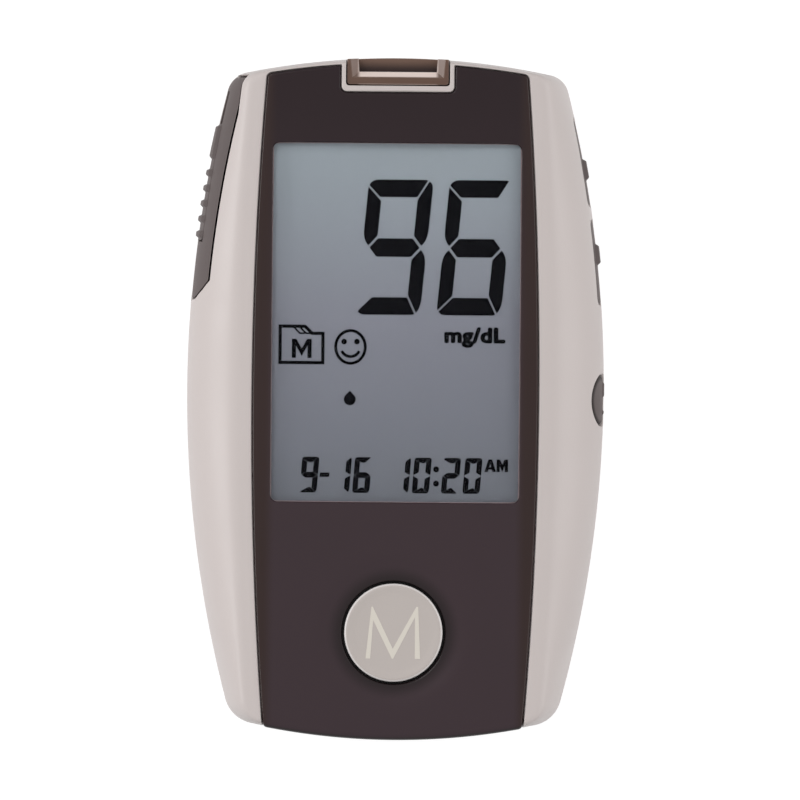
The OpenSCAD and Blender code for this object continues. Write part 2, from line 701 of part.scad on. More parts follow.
module display_holder() color([0.9, 0.9, 0.9])
    difference() {
        plate(0, window_y, holder_w, holder_l, 1.5, board_top, lcd_top - 0.2);
        block(-lcd_w / 2 - fit, lcd_w / 2 + fit, window_y - lcd_l / 2 - fit,
            window_y + lcd_l / 2 + fit, backlight_bottom, lcd_top + 1);
        for (s = [-1, 1]) translate([0, window_y + s * (strip_seat_y + strip_seat_l / 2), 0])
            block(-lcd_w / 2 + 0.9, lcd_w / 2 - 0.9, -strip_seat_l / 2 - fit,
                strip_seat_l / 2 + fit, board_top - 1, lcd_bottom);
    }

module elastomer_strips() color([0.75, 0.4, 0.5])
    for (s = [-1, 1]) translate([0, window_y + s * (strip_seat_y + strip_seat_l / 2), 0])
        block(-lcd_w / 2 + 1, lcd_w / 2 - 1, -strip_seat_l / 2, strip_seat_l / 2,
            board_top, lcd_bottom);

board_tab_w = 18;        // tongue of the board that carries the connector
module main_board() color([0.05, 0.35, 0.2])
    difference() {
        translate([0, 0, board_bottom]) linear_extrude(board_t) union() {
            polygon(shell_line(board_inset));
            translate([-board_tab_w / 2, 0]) square([board_tab_w, board_edge_y]);
        }
        for (p = case_screws_at) rod(p[0], p[1], 0, body_d, boss_r + 0.4);
        for (p = board_screws_at) rod(p[0], p[1], 0, body_d, board_screw_r + 0.1);
        block(-1, 1, connector_y0 - 1.2, far_y, 0, body_d);
    }

chip_h = 1.2;
// Centre, width and length of each chip
chips = [
    [-6.5, top_end - 31.5, 7, 7], [5, top_end - 30.5, 6, 5], [-14.5, top_end - 32.5, 5, 3],
    [-17.25, low_end + 17.75, 3.5, 3.5]];
module board_chips() color([0.1, 0.1, 0.1])
    for (c = chips) block(c[0] - c[2] / 2, c[0] + c[2] / 2, c[1] - c[3] / 2, c[1] + c[3] / 2,
        board_bottom - chip_h, board_bottom);

module buzzer() color([0.15, 0.15, 0.16])
    difference() {
        rod(buzzer_x, buzzer_y, board_bottom - buzzer_h, board_bottom, buzzer_d / 2);
        rod(buzzer_x, buzzer_y, board_bottom - buzzer_h - 1, board_bottom - buzzer_h + 0.6, 0.9);
    }

// ---------- main key ----------
key_top = body_d - 0.1;
key_flange_top = deck_bottom - fit;
pad_rest_h = 2.7;        // height left under the pressed key
key_bottom = board_top + pad_rest_h + key_travel;
key_bevel = 0.7;
module main_key() color([0.78, 0.74, 0.72])
    difference() {
        translate([0, -key_y, 0]) rotate_extrude($fn = 96) polygon([
            [0, key_bottom], [key_hole_r + key_flange_w, key_bottom],
            [key_hole_r + key_flange_w, key_flange_top], [key_d / 2, key_flange_top],
            [key_d / 2, key_top - key_bevel], [key_d / 2 - key_bevel, key_top - 0.08],
            [0, key_top]]);
        legend_solid(0, key_top - 0.35, body_d + 1);
    }
legend_foot_x = 3.88;
legend_apex_x = 3.1;
legend_half_h = 3.65;
module stroke(a, b, w)
    polygon([[a[0] - w / 2, a[1]], [a[0] + w / 2, a[1]], [b[0] + w / 2, b[1]], [b[0] - w / 2, b[1]]]);
module legend_solid(d, z0, z1)
    translate([0, -key_y, z0]) linear_extrude(z1 - z0) both_sides() {
        stroke([legend_foot_x, -legend_half_h], [legend_apex_x, legend_half_h], legend_stroke - d);
        stroke([0, -legend_half_h], [legend_apex_x, legend_half_h], legend_stroke - d);
    }
module key_legend() color([0.9, 0.88, 0.86])
    legend_solid(0.02, key_top - 0.35, key_top + 0.03);

pad_floor = 0.5;
module main_key_pad() color([0.85, 0.85, 0.8])
    translate([0, -key_y, 0]) rotate_extrude($fn = 64) polygon([
        [0, key_bottom - 1.2], [2.6, key_bottom - 1.2], [4.7, board_top], [6.6, board_top],
        [6.6, board_top + pad_floor], [5.4, board_top + pad_floor], [3.6, key_bottom - 0.5],
        [3.6, key_bottom], [0, key_bottom]]);

// ---------- side keys ----------
flange_extra = 0.7;
switch_depth = 5.3;
plunger_z = board_bottom - 1.5;
plunger_r = 0.9;
key_back = wall + wall_gap;
module long_key(y, l, nub_y, nub_l) {
    intersection() {
        skin(1, y, key_back + eps, 0.04, side_key_z0, side_key_z0 + side_key_h);
        side_band(1, y - l / 2, y + l / 2);
    }
    intersection() {
        hoop(1, key_back + key_flange_depth, key_back,
            side_key_z0 - 0.4, side_key_z0 + side_key_h + flange_extra);
        side_band(1, y - l / 2 - flange_extra, y + l / 2 + flange_extra);
    }
    intersection() {
        skin(1, nub_y, 1, nub_h, side_key_z0 + 1, side_key_z0 + side_key_h - 1);
        side_band(1, nub_y - nub_l / 2, nub_y + nub_l / 2);
    }
}
nub_l = 3.2;
module up_key() color(grey) long_key(up_key_y, up_key_l, up_key_y - 0.3, nub_l);
module down_key() color(grey) long_key(down_key_y, down_key_l, down_key_y + 1.2, nub_l);
module plunger(y) at_side(1, y) translate([-switch_depth, 0, plunger_z]) rotate([0, 90, 0])
    cylinder(h = switch_depth - key_back - key_flange_depth - 0.02, r = plunger_r);
module up_plunger() color([0.1, 0.1, 0.1]) plunger(up_key_y);
module down_plunger() color([0.1, 0.1, 0.1]) plunger(down_key_y);
module light_plunger() color([0.1, 0.1, 0.1]) plunger(light_key_y);

module light_key() color(grey) {
    intersection() {
        skin(1, light_key_y, key_back + eps, 0, light_key_z - light_key_d, light_key_z + light_key_d);
        translate([0, light_key_y, light_key_z]) rotate([0, 90, 0])
            cylinder(h = far_x, r = light_key_d / 2);
    }
    intersection() {
        hoop(1, key_back + key_flange_depth, key_back, part_z + 0.1, cavity_step_z - 0.2);
        translate([0, light_key_y, light_key_z]) rotate([0, 90, 0])
            cylinder(h = far_x, r = light_key_d / 2 + flange_extra);
    }
}

module side_switches() color([0.2, 0.2, 0.22])
    for (y = [up_key_y, down_key_y, light_key_y]) at_side(1, y) difference() {
        block(-switch_depth - 4.2, -switch_depth + 0.2, -3, 3, board_bottom - 3, board_bottom);
        translate([-switch_depth - side_key_travel - 0.3, 0, plunger_z]) rotate([0, 90, 0])
            cylinder(h = switch_depth, r = plunger_r + 0.1);
    }

// ---------- strip port ----------
port_front = body_d - 0.4;
lip_y0 = port_y0 + 1.1;
lip_y1 = lip_y0 + 0.7;
mouth_half_w = 4.9;
mouth_out_half_w = 5.5;
module strip_port() color([0.42, 0.34, 0.29])
    difference() {
        intersection() {
            block(-port_w / 2, port_w / 2, port_y0, port_y1, port_z0, port_front);
            prism(shell_line(fit), 0, body_d + 1);
        }
        // mouth, open towards the end and the front
        translate([0, 0, strip_z - 0.1]) linear_extrude(body_d) polygon([
            [-mouth_half_w, lip_y1], [mouth_half_w, lip_y1],
            [mouth_out_half_w, far_y], [-mouth_out_half_w, far_y]]);
        // slope of the lip down into the mouth
        translate([-mouth_half_w - 0.6, 0, 0]) rotate([90, 0, 90])
            linear_extrude(2 * mouth_half_w + 1.2) polygon([
                [lip_y0, port_front + eps], [lip_y1 + 0.1, port_front + eps],
                [lip_y1 + 0.1, port_front - 1.1]]);
        block(-strip_w / 2, strip_w / 2, port_y0 - 1, lip_y1 + 1, strip_z, strip_top);
    }

contact_xs = [-2.5, -1.4, 1.4, 2.5];
contact_slot = 0.35;
module strip_connector() color([0.12, 0.12, 0.13])
    difference() {
        block(-connector_w / 2, connector_w / 2, connector_y0, connector_y1,
            board_top, strip_top + 1.4);
        block(-strip_w / 2, strip_w / 2, connector_y0 - 1, connector_y1 + 1, strip_z, strip_top);
        block(-0.9, 0.9, connector_y0 - 1, connector_y1 + 1, board_top - 1, strip_top);
        for (x = contact_xs) block(x - contact_slot, x + contact_slot, connector_y0 - 1,
            connector_y1 - 1, strip_z + 0.4, strip_top + 0.7);
    }
contact_t = 0.25;
module strip_contacts() color([0.85, 0.68, 0.3])
    for (x = contact_xs) translate([x, 0, 0]) rotate([90, 0, 90])
        translate([0, 0, -0.25]) linear_extrude(0.5) polygon([
            [connector_y0 - 0.1 - contact_t, board_top], [connector_y0 - 0.1, board_top],
            [connector_y0 - 0.1, strip_top + 0.35], [connector_y1 - 1.8, strip_z + 0.45],
            [connector_y1 - 1.3, strip_top + 0.2], [connector_y1 - 1.4, strip_top + 0.4],
            [connector_y1 - 1.8, strip_z + 0.75],
            [connector_y0 - 0.1 - contact_t, strip_top + 0.6]]);

// ---------- strip ejector ----------
slot_room = 0.3;
module ejector_track() color(grey)
    difference() {
        intersection() {
            front_form();
            track_region(0);
        }
        prism(shell_line(track_t), 0, body_d + 1);
        // bed of the slider and the slot for its arm
        intersection() {
            hoop(-1, slider_t + fit, -out, slider_z0 - 0.15, slider_z1 + 0.15);
            side_band(-1, slider_y - slider_l / 2 - slot_room,
                slider_y + slider_l / 2 + slider_path + slot_room);
        }
        intersection() {
            hoop(-1, track_t + 1, -out, slider_z0 - 0.15, arm_z1 + 0.2);
            side_band(-1, arm_y0, arm_y1);
        }
    }

rib_w = 0.9;
ribs = 5;
pad_l = 5;
module ejector_slider() color(grey) {
    top_y = slider_y + slider_l / 2;
    intersection() {
        skin(-1, slider_y, slider_t, 0.02, slider_z0, slider_z1);
        side_band(-1, slider_y - slider_l / 2, top_y);
    }
    intersection() {
        skin(-1, slider_y, 0.8, rib_h, slider_z0 + 0.6, slider_z1 - 0.6);
        union() {
            side_band(-1, top_y - pad_l, top_y);
            for (i = [1:ribs]) translate([0, -i * rib_pitch, 0])
                side_band(-1, top_y - pad_l - rib_w / 2, top_y - pad_l + rib_w / 2);
        }
    }
    at_side(-1, slider_y) {
        block(-pin_inset - pin_r - 0.2, -slider_t + 0.3, -arm_w / 2, arm_w / 2, arm_z0, arm_z1);
        translate([-pin_inset, 0, arm_z1 - 0.2]) cylinder(h = pusher_t + 0.6, r = pin_r);
    }
}

pusher_arm_w = 2.4;
pusher_half_l = 2.2;
pusher_shelf = 3.2;       // from the drive pin to the shelf that the pusher slides on
finger_w = 1.3;
finger_l = 1;
finger_y = connector_y0 + 0.2;
guide_y0 = pin_y + pusher_half_l + pusher_travel + 0.3;
guide_y1 = connector_y1;
shelf_x = pin_x + pusher_shelf;
spring_x = -7;
spring_y0 = pin_y + pusher_half_l;
spring_l = 9.6;
spring_y1 = spring_y0 + spring_l;
module ejector_pusher() color([0.85, 0.85, 0.83])
    difference() {
        union() {
            block(pin_x - 2, shelf_x + 1, pin_y - pusher_half_l, pin_y + pusher_half_l,
                pusher_z0, pusher_z1);
            block(shelf_x, pusher_arm_w / 2, pin_y - 0.8, pin_y + pusher_half_l,
                pusher_z0, pusher_z1);
            block(-pusher_arm_w / 2, pusher_arm_w / 2, pin_y, finger_y + finger_l,
                pusher_z0, pusher_z1);
            block(-finger_w / 2, finger_w / 2, finger_y, finger_y + finger_l,
                pusher_z0, strip_top - 0.1);
            translate([spring_x, spring_y0 - eps, spring_z]) rotate([-90, 0, 0])
                cylinder(h = 1.4, r = 0.5);
        }
        // cross slot for the drive pin, which moves sideways a little as it swings
        block(pin_x - pin_r - fit, pin_x_end + pin_r + fit, pin_y - pin_r - 0.05,
            pin_y + pin_r + 0.05, pusher_z0 - 1, pusher_z1 + 1);
    }

// A coil spring along +Z from the origin, as a tube swept along its own helix
function spring_ring(r, wire, pitch, a) = [
    for (j = [0:5]) let (b = 60 * j)
        [(r + wire * cos(b)) * cos(a), (r + wire * cos(b)) * sin(a),
         wire + pitch * a / 360 + wire * sin(b)]];
module coil(r, wire, l, turns) {
    steps = ceil(turns * 12);
    pitch = (l - 2 * wire) / turns;
    points = [for (i = [0:steps]) each spring_ring(r, wire, pitch, 360 * turns * i / steps)];
    faces = concat(
        [[for (j = [5:-1:0]) j]],
        [for (i = [0:steps - 1]) for (j = [0:5])
            let (k = (j + 1) % 6, a = i * 6 + j, b = i * 6 + k)
            each [[a, b, b + 6], [a, b + 6, a + 6]]],
        [[for (j = [0:5]) steps * 6 + j]]);
    polyhedron(points = points, faces = [for (f = faces) [for (i = [len(f) - 1:-1:0]) f[i]]]);
}
spring_wire = 0.15;
spring_coil_r = 0.9;
spring_z = (pusher_z0 + pusher_z1) / 2 - 0.1;
module ejector_spring() color([0.7, 0.7, 0.72])
    translate([spring_x, spring_y0 + 0.02, spring_z]) rotate([-90, 0, 0])
        coil(spring_coil_r, spring_wire, spring_y1 - spring_y0 - 0.04, 6);

// ---------- battery ----------
module battery_door() color(white) {
    half_w = door_half_w - door_gap;
    block(-half_w, half_w, door_end_y + door_gap, hinge_y, 0, door_t);
    translate([-half_w, hinge_y, barrel_r]) rotate([0, 90, 0])
        cylinder(h = 2 * half_w, r = barrel_r);
    translate([-door_half_w - hinge_pin_l + 0.1, hinge_y, barrel_r]) rotate([0, 90, 0])
        cylinder(h = 2 * (door_half_w + hinge_pin_l - 0.1), r = hinge_pin_r);
    // snap tongue at the free end, and grip ribs standing in the hollow between the cells
    block(-4, 4, well_y0 + 0.15, well_y0 + 1.15, door_t - eps, door_t + 1.6);
    block(-0.5, 0.5, well_y0 + contact_l, well_y1 - contact_l, door_t - eps, door_t + 1.2);
}

// One cell along Y; its button points to +Y for way = 1 and to -Y for way = -1
cell_button_l = 1.2;
cell_button_r = 1.9;
module cell(x, way)
    translate([x, well_y + way * (contact_l - cell_l) / 2, cell_z]) rotate([-90 * way, 0, 0]) {
        cylinder(h = cell_l - cell_button_l, r = cell_d / 2);
        cylinder(h = cell_l, r = cell_button_r);
    }
module cell_left() color([0.75, 0.6, 0.2]) cell(-cell_x, 1);
module cell_right() color([0.75, 0.6, 0.2]) cell(cell_x, -1);

module battery_springs() color([0.75, 0.75, 0.77])
    for (s = [-1, 1]) translate([s * cell_x, s < 0 ? well_y0 + plate_t : well_y1 - plate_t, cell_z])
        rotate([s < 0 ? -90 : 90, 0, 0]) coil(2.6, 0.25, contact_l, 2.5);

plate_half_w = 4.2;
module battery_plates() color([0.75, 0.75, 0.77])
    for (y = [well_y0, well_y1 - plate_t]) for (s = [-1, 1])
        block(s * cell_x - plate_half_w, s * cell_x + plate_half_w, y, y + plate_t,
            door_t + 2.2, well_ceiling - 0.6);

// ---------- screws ----------
screw_reach = 6;         // how far the shank goes into the boss
screw_head_h = 1.5;
module case_screws() color([0.6, 0.6, 0.62])
    for (p = case_screws_at) translate([p[0], p[1], 0]) difference() {
        union() {
            rod(0, 0, screw_seat_z - screw_head_h, screw_seat_z, screw_head_r);
            rod(0, 0, screw_seat_z - eps, boss_z + screw_reach, screw_r);
        }
        cross_recess(screw_seat_z - screw_head_h);
    }
module cross_recess(z)
    for (a = [0, 90]) rotate([0, 0, a]) block(-1.1, 1.1, -0.22, 0.22, z - 1, z + 0.8);
module board_screws() color([0.6, 0.6, 0.62])
    for (p = board_screws_at) translate([p[0], p[1], 0]) {
        rod(0, 0, board_bottom - 0.9, board_bottom, board_screw_r * 2);
        rod(0, 0, board_bottom - eps, board_top + 3.4, board_screw_r);
    }

front_case();
rear_case();
front_panel();
display_window();
dust_gasket();
lcd_cell();
backlight_panel();
display_holder();
elastomer_strips();
main_board();
board_chips();
buzzer();
main_key();
key_legend();
main_key_pad();
up_key();
up_plunger();
down_key();
down_plunger();
light_key();
light_plunger();
side_switches();
strip_port();
strip_connector();
strip_contacts();
ejector_track();
ejector_slider();
ejector_pusher();
ejector_spring();
battery_door();
cell_left();
cell_right();
battery_springs();
battery_plates();
case_screws();
board_screws();
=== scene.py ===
"""A hand-held blood glucose meter, dressed on its packed construction.

The construction gives every body, joint and inner piece. This script makes the outer pieces as
fine meshes, gives each piece its finish, and sets up a plain studio. Lengths are in millimetres
until a mesh is made, with +X to the right, +Y towards the strip port and +Z out of the display.
"""

import json
import logging
import math
from collections.abc import Callable, Sequence
from dataclasses import dataclass, field, replace
from enum import Enum
from typing import ClassVar

import bmesh
import bpy
import numpy as np
from mathutils import Matrix, Vector


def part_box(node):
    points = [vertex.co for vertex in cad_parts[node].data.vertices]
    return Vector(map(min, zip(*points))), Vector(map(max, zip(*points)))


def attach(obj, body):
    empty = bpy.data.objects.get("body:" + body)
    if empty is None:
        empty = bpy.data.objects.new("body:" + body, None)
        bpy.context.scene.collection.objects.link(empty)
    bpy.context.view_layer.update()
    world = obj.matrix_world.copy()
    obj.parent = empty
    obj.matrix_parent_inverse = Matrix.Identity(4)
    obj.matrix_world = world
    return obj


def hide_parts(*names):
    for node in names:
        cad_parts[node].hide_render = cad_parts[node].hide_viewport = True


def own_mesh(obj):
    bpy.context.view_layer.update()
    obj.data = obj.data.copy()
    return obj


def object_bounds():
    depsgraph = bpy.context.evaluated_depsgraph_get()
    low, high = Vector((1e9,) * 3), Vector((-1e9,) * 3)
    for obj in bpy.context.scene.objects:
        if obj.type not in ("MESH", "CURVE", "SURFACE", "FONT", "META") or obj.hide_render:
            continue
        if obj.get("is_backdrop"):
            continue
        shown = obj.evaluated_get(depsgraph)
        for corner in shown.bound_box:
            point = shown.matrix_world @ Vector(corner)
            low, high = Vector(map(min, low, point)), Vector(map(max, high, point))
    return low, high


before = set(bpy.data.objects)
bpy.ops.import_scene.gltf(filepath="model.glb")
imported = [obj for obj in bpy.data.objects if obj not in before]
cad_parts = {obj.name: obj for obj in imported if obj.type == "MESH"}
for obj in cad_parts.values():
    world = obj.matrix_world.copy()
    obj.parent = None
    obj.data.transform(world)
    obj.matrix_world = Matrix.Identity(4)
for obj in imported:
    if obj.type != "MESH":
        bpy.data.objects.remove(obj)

LOG = logging.getLogger("meter")
MM = 0.001
PICTURE_PX = 800
ALONG_X = Matrix.Rotation(math.pi / 2, 4, "Y")
WHITE = (1.0, 1.0, 1.0, 1.0)

# Distances that are clear of the meter, for the tools that cut it.
FAR_OUT = 40.0
FAR_UP = 30.0

Line = np.ndarray
Surface = Callable[[np.ndarray, np.ndarray], np.ndarray]
Growing = Callable[[float], Line]
Socket = bpy.types.NodeSocket
Pair = tuple[float, float]
Figures = tuple[tuple[str, float], ...]
Rgb = tuple[int, int, int]
Colour = tuple[float, float, float, float]


class Body(Enum):
    """The bodies of the construction that a piece can ride on."""

    CASING = "casing"
    MAIN_KEY = "main_key"
    UP_KEY = "up_key"
    DOWN_KEY = "down_key"
    LIGHT_KEY = "light_key"
    SLIDER = "slider"
    PUSHER = "pusher"
    DOOR = "door"


class Operation(Enum):
    """How one solid meets another."""

    JOIN = "UNION"
    CUT = "DIFFERENCE"
    COMMON = "INTERSECT"


class Side(Enum):
    """The two long sides of the casing, by the sign of X."""

    LEFT = -1
    RIGHT = 1


# ---------------------------------------------------------------- lines and surfaces


@dataclass(frozen=True)
class Span:
    """The lowest and the highest corner of a construction node at rest, in millimetres."""

    low: Vector
    high: Vector

    @classmethod
    def of(cls, node: str) -> "Span":
        """Read the box of a node.

        Args:
            node: Name of the construction node.

        Returns:
            Its span.
        """
        low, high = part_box(node)
        return cls(Vector(low) / MM, Vector(high) / MM)

    @property
    def size(self) -> Vector:
        """Extent along each axis."""
        return self.high - self.low

    @property
    def middle(self) -> Vector:
        """Centre of the box."""
        return (self.high + self.low) / 2


def arc(centre: Sequence[float], radius: float, start: float, end: float, steps: int) -> Line:
    """Points along an arc.

    Args:
        centre: Centre of the arc.
        radius: Its radius.
        start: Angle of the first point, in radians.
        end: Angle of the last point, in radians.
        steps: Number of chords.

    Returns:
        The points, one per row.
    """
    angles = np.linspace(start, end, steps + 1)
    return np.array(centre) + radius * np.stack([np.cos(angles), np.sin(angles)], axis=1)


def meet(a: np.ndarray, radius_a: float, b: np.ndarray, radius_b: float) -> np.ndarray:
    """Where two circles meet, on the left of the line from one centre to the other.

    Args:
        a: Centre of the first circle.
        radius_a: Radius of the first circle.
        b: Centre of the second circle.
        radius_b: Radius of the second circle.

    Returns:
        The meeting point.
    """
    apart = float(np.linalg.norm(b - a))
    along = (b - a) / apart
    reach = (radius_a**2 - radius_b**2 + apart**2) / (2 * apart)
    across = np.array([-along[1], along[0]])
    return a + reach * along + math.sqrt(radius_a**2 - reach**2) * across


def circle(x: float, y: float, radius: float, steps: int = 96) -> Line:
    """A closed circle as points, counter-clockwise."""
    return arc((x, y), radius, 0, 2 * math.pi, steps)[:-1]


def round_rect(x: float, y: float, width: float, length: float, radius: float) -> Line:
    """A rectangle with rounded corners, counter-clockwise.

    Args:
        x: Middle of the rectangle.
        y: Middle of the rectangle.
        width: Extent along X.
        length: Extent along Y.
        radius: Corner radius.

    Returns:
        The outline's points.
    """
    corners = []
    quarter = math.pi / 2
    for turn, (sx, sy) in enumerate([(1, 1), (-1, 1), (-1, -1), (1, -1)]):
        centre = (x + sx * (width / 2 - radius), y + sy * (length / 2 - radius))
        corners.append(arc(centre, radius, turn * quarter, (turn + 1) * quarter, 8))
    return np.concatenate(corners)


def rect_between(low: Sequence[float], high: Sequence[float], radius: float) -> Line:
    """A rectangle with rounded corners, by its lowest and its highest corner."""
    middle = ((low[0] + high[0]) / 2, (low[1] + high[1]) / 2)
    return round_rect(*middle, high[0] - low[0], high[1] - low[1], radius)


def growing_circle(x: float, y: float, radius: float, steps: int) -> Growing:
    """A way to draw a circle moved outwards by any distance."""

    def line(by: float) -> Line:
        """The circle moved outwards."""
        return circle(x, y, radius + by, steps)

    return line


def growing_rect(x: float, y: float, width: float, length: float, radius: float) -> Growing:
    """A way to draw a rounded rectangle moved outwards by any distance."""

    def line(by: float) -> Line:
        """The rectangle moved outwards."""
        return round_rect(x, y, width + 2 * by, length + 2 * by, radius + by)

    return line


@dataclass(frozen=True)
class Bow:
    """Four bowed edges with rounded corners, seen from the front.

    The points run from the middle of the lower edge up the right side to the middle of the upper
    edge, and back down the left side as a mirror image.
    """

    half_width: float
    side_r: float
    side_y: float
    top_y: float
    top_r: float
    low_y: float
    low_r: float
    corner_r: float
    steps: tuple[int, int, int, int, int] = (22, 12, 70, 12, 22)
    low_corner_more: float = 0.0

    def grown(self, by: float, low_by: float | None = None, corner_min: float = 0.3) -> "Bow":
        """The same outline moved outwards.

        Args:
            by: Distance that the sides and the upper edge move outwards.
            low_by: Distance that the lower edge moves, or None for the same.
            corner_min: The smallest corner radius.

        Returns:
            The moved outline.
        """
        low_by = by if low_by is None else low_by
        return replace(
            self,
            half_width=self.half_width + by,
            side_r=self.side_r + by,
            top_y=self.top_y + by,
            top_r=self.top_r + by,
            low_y=self.low_y - low_by,
            low_r=self.low_r + low_by,
            corner_r=max(self.corner_r + by, corner_min),
        )

    def half(self) -> Line:
        """Points of the right half, from the lower middle to the upper middle."""
        side = np.array([self.half_width - self.side_r, self.side_y])
        top = np.array([0.0, self.top_y - self.top_r])
        low = np.array([0.0, self.low_y + self.low_r])
        r = self.corner_r
        low_corner_r = r + self.low_corner_more
        low_corner = meet(low, self.low_r - low_corner_r, side, self.side_r - low_corner_r)
        top_corner = meet(side, self.side_r - r, top, self.top_r - r)

        def angle(centre: np.ndarray, point: np.ndarray) -> float:
            """Angle of a point seen from a centre."""
            return math.atan2(point[1] - centre[1], point[0] - centre[0])

        turns = [
            (low, self.low_r, -math.pi / 2, angle(low, low_corner)),
            (low_corner, low_corner_r, angle(low, low_corner), angle(side, low_corner)),
            (side, self.side_r, angle(side, low_corner), angle(side, top_corner)),
            (top_corner, r, angle(side, top_corner), angle(top, top_corner)),
            (top, self.top_r, angle(top, top_corner), math.pi / 2),
        ]
        parts = [arc(c, radius, a, b, n) for (c, radius, a, b), n in zip(turns, self.steps)]
        return np.concatenate([parts[0]] + [part[1:] for part in parts[1:]])

    def whole(self) -> Line:
        """Points of the closed outline."""
        half = self.half()
        mirrored = half[-2:0:-1] * [-1, 1]
        return np.concatenate([half, mirrored])


def at_height(line: Line, height: float | np.ndarray) -> np.ndarray:
    """The points of a flat line raised to a height, or to one height for each point."""
    heights = np.broadcast_to(np.asarray(height, float), (len(line),))
    return np.column_stack([line, heights])


def distance_inside(points: np.ndarray, outline: Line) -> np.ndarray:
    """How deep each point lies inside a closed outline.

    Args:
        points: Points, one per row.
        outline: Points of the closed outline, counter-clockwise.

    Returns:
        The distance to the outline, or 0 for a point outside it.
    """
    start, end = outline, np.roll(outline, -1, axis=0)
    edge = end - start
    length_sq = np.maximum((edge**2).sum(axis=1), 1e-12)
    offset = points[:, None, :] - start[None]
    share = np.clip((offset * edge[None]).sum(axis=2) / length_sq, 0, 1)
    gap = offset - share[..., None] * edge[None]
    distance = np.sqrt((gap**2).sum(axis=2)).min(axis=1)
    above_start = start[None, :, 1] <= points[:, None, 1]
    above_end = end[None, :, 1] <= points[:, None, 1]
    cross = edge[None, :, 0] * offset[..., 1] - edge[None, :, 1] * offset[..., 0]
    winding = (above_start & ~above_end & (cross > 0)).sum(axis=1)
    winding = winding - (~above_start & above_end & (cross < 0)).sum(axis=1)
    return np.where(winding != 0, distance, 0.0)


def depth_in(y: np.ndarray, z: np.ndarray, outline: Line) -> np.ndarray:
    """How deep each place of a grid of levels and heights lies inside a closed outline."""
    flat = np.column_stack([y.ravel(), z.ravel()])
    return distance_inside(flat, outline).reshape(y.shape)


def smooth(t: np.ndarray, height: float = 1.0) -> np.ndarray:
    """A soft step up to a height as a value goes from 0 to 1."""
    t = np.clip(t, 0, 1)
    return height * t * t * (3 - 2 * t)


def round_over(depth: np.ndarray, radius: float) -> np.ndarray:
    """How far a rounded edge falls, by the distance from the edge.

    Args:
        depth: Distance inside the edge.
        radius: Radius of the rounding.

    Returns:
        The fall, from the radius at the edge to 0 at one radius inside.
    """
    left = np.clip(radius - depth, 0, radius)
    return radius - np.sqrt(np.maximum(radius**2 - left**2, 0))


# ---------------------------------------------------------------- solids


def placed(name: str, data: bpy.types.ID) -> bpy.types.Object:
    """A new object of the scene that holds a mesh, a curve, a light or a camera."""
    made = bpy.data.objects.new(name, data)
    bpy.context.scene.collection.objects.link(made)
    return made


